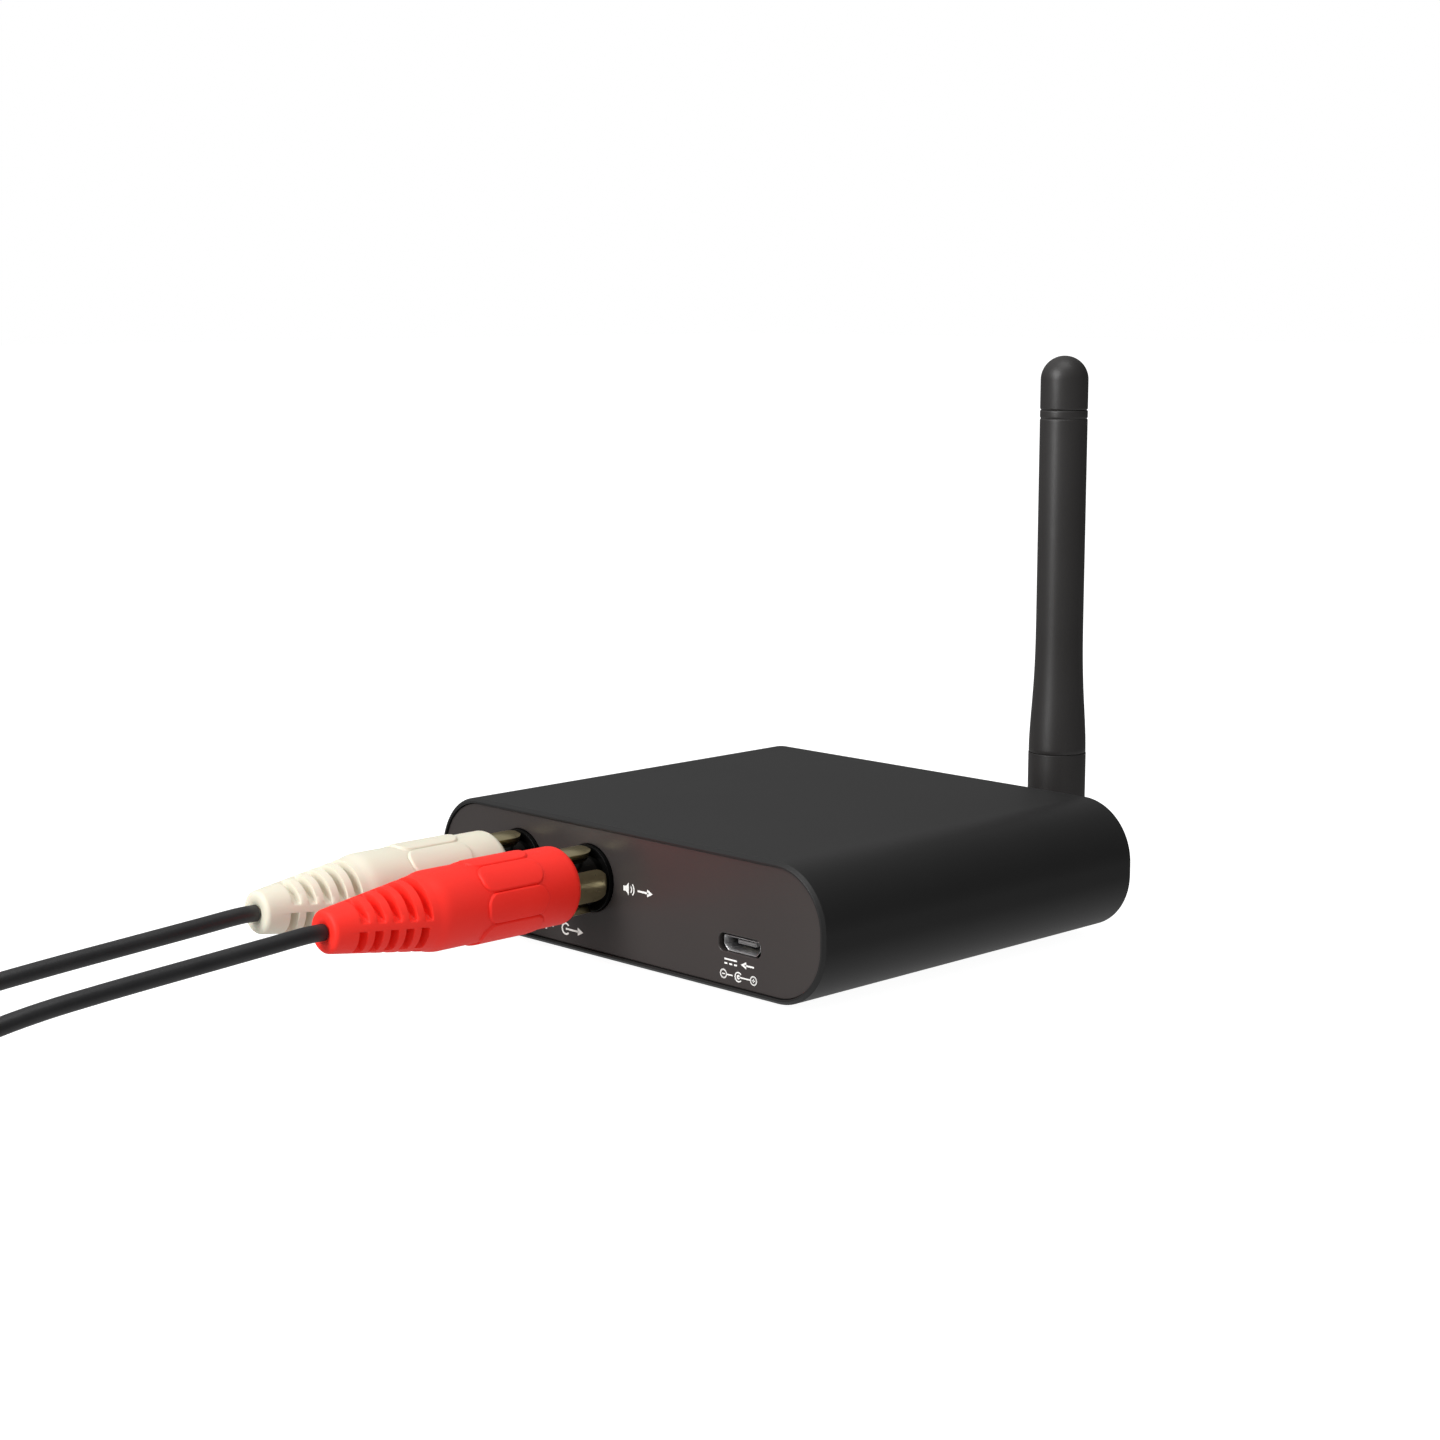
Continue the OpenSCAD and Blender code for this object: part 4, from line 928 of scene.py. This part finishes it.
for side, x in LINES.items():
    lead, colour = f"{side}_lead", {"right": "red_plastic", "left": "cream_plastic"}[side]
    for end, place in (("plug", along_y(x, PLUG_FACE, AXIS_Z)), ("far_plug", against_y(x, FAR_FACE, FAR_Z))):
        near = end == "plug"
        name = f"{side}_{end}"
        body = mesh_object(f"{name}_moulding", [plug_body(place)], crease=60)
        shell = mesh_object(f"{name}_petals", gold_shell(place), crease=50)
        pin = mesh_object(f"{name}_tip", [lathe(pin_profile, place, 64)])
        filling = mesh_object(f"{name}_filling", [turned(disc_ring, place)])
        piece(body, lead, colour, [f"{name}_body"])
        piece(shell, lead, "gold_plating", [f"{name}_shell"])
        piece(pin, lead, "gold_plating", [f"{name}_pin" if near else f"{name}_core"])
        piece(filling, lead, "white_insulator", [f"{name}_insulator"] if near else [])

    # Two straps hold the coil's turns together
    centre = x + SIDE_OF_LINE[side] * TURN_OUT
    strap_outline = round_rect(WOUND_W + 2 * STRAP_OUT, WOUND_H + 2 * STRAP_OUT, 1.7, COIL_R,
                               COIL_LIFT + WOUND_H / 2, steps=8)
    strap_loop = rounded([(0, -STRAP_HALF, 0.15), (0, STRAP_HALF, 0.15), (STRAP_T, STRAP_HALF, 0.1),
                          (STRAP_T, -STRAP_HALF, 0.1)], steps=2)
    straps = []
    for middle in (90, 270):
        rings = []
        for inset, across in strap_loop:
            turn = math.radians(middle) + across / COIL_R
            rings.append([(centre + r * math.cos(turn), COIL_Y + r * math.sin(turn), z)
                          for r, z in strap_outline(inset)])
        straps.append(loft(rings, closed=True))
    strap = piece(mesh_object(f"{side}_coil_straps", straps), lead, "mat_rubber")

    cord = piece(cords[side], lead, "cord_jacket", [f"{side}_cord", f"{side}_cord_coil"])

# ---- finishes of the CAD nodes that stay ----

for subpart in frame["record"]["subparts"]:
    node = frame["nodes"][subpart["node"]]
    if not node.hide_render:
        node.data.materials.clear()
        node.data.materials.append(FINISH[subpart["material_slot"]])

# ---- studio ----

scene.view_settings.view_transform = "Standard"
world = bpy.data.worlds.new("studio")
scene.world = world
world.use_nodes = True
sky, links = world.node_tree.nodes, world.node_tree.links
background = sky["Background"]
rays = sky.new("ShaderNodeLightPath")
coordinates = sky.new("ShaderNodeTexCoord")
split = sky.new("ShaderNodeSeparateXYZ")
links.new(coordinates.outputs["Generated"], split.inputs["Vector"])


def sky_math(kind, first, second):
    node = sky.new("ShaderNodeMath")
    node.operation = kind
    links.new(first, node.inputs[0])
    links.new(second, node.inputs[1])
    return node.outputs["Value"]


def sky_ramp(value, low, high, levels):
    """Brightness along a range of a value, with evenly spaced levels."""
    lift = sky.new("ShaderNodeMapRange")
    lift.inputs["From Min"].default_value = low
    lift.inputs["From Max"].default_value = high
    ramp = sky.new("ShaderNodeValToRGB")
    for k, level in enumerate(levels):
        at = k / (len(levels) - 1)
        stop = ramp.color_ramp.elements[k] if k < 2 else ramp.color_ramp.elements.new(at)
        stop.position = at
        stop.color = (level, level, level, 1)
    links.new(value, lift.inputs["Value"])
    links.new(lift.outputs["Result"], ramp.inputs["Fac"])
    return ramp.outputs["Color"]


# What smooth surfaces mirror: a pale table below, a dark horizon, and a sky that is dimmer on the right
upper = sky_ramp(split.outputs["Z"], 0.0, 1.0, (0.08, 0.22, 0.42, 0.55, 0.6))
lower = sky_ramp(split.outputs["Z"], -1.0, 0.0, (0.6, 0.5, 0.35, 0.15, 0.0))
across = sky_math("ADD", split.outputs["X"], split.outputs["Y"])
side = sky_ramp(across, -1.4, 1.4, (1.0, 1.0, 0.8, 0.27, 0.12))
mirrored = sky_math("ADD", sky_math("MULTIPLY", upper, side), lower)
lit = sky_ramp(split.outputs["Z"], -1.0, 1.0, (0.75, 0.75, 0.7))


def sky_mix(factor, first, second):
    node = sky.new("ShaderNodeMix")
    node.data_type = "RGBA"
    links.new(factor, node.inputs[0])
    links.new(first, node.inputs[6])
    if isinstance(second, tuple):
        node.inputs[7].default_value = second
    else:
        links.new(second, node.inputs[7])
    return node.outputs[2]


tone = sky_mix(rays.outputs["Is Glossy Ray"], lit, mirrored)
links.new(sky_mix(rays.outputs["Is Camera Ray"], tone, (1, 1, 1, 1)), background.inputs["Color"])
background.inputs["Strength"].default_value = 1.0

# ---- white paper on the table: it neither lights the part nor shows in its gloss ----

PAPER_HALF = 4.0
floor_mesh = bpy.data.meshes.new("floor")
paper_corners = [(PAPER_HALF * x, PAPER_HALF * y, 0) for x, y in ((-1, -1), (1, -1), (1, 1), (-1, 1))]
floor_mesh.from_pydata(paper_corners, [], [(0, 1, 2, 3)])
floor = add(bpy.data.objects.new("floor", floor_mesh))
paper = bpy.data.materials.new("paper")
paper.use_nodes = True
shader = paper.node_tree.nodes["Principled BSDF"]
shader.inputs["Base Color"].default_value = (0.3, 0.3, 0.3, 1)
shader.inputs["Roughness"].default_value = 0.9
shader.inputs["Emission Color"].default_value = (1, 1, 1, 1)
shader.inputs["Emission Strength"].default_value = 0.95
floor_mesh.materials.append(paper)
floor.visible_glossy = False
floor.visible_diffuse = False

# ---- lamps ----


def softbox(name, at, size, power, target=(0.0, -0.02, 0.02)):
    """A rectangular lamp that faces its target; places and sizes are in metres and its power is in watts."""
    lamp = bpy.data.lights.new(name, "AREA")
    lamp.shape = "RECTANGLE"
    lamp.size, lamp.size_y = size
    lamp.energy = power
    obj = add(bpy.data.objects.new(name, lamp))
    obj.location = at
    obj.rotation_euler = (Vector(target) - Vector(at)).to_track_quat("-Z", "Y").to_euler()
    return obj


softbox("key", (-0.1, -0.7, 0.5), (0.5, 0.4), 3.5)
softbox("top", (0.1, -0.1, 0.9), (0.6, 0.6), 2)
# A narrow one that draws a bright line down the rod
softbox("strip", (-0.04, -0.6, 0.21), (0.1, 0.4), 1.4, (ANTENNA_X * MM, HINGE_Y * MM, 0.06))
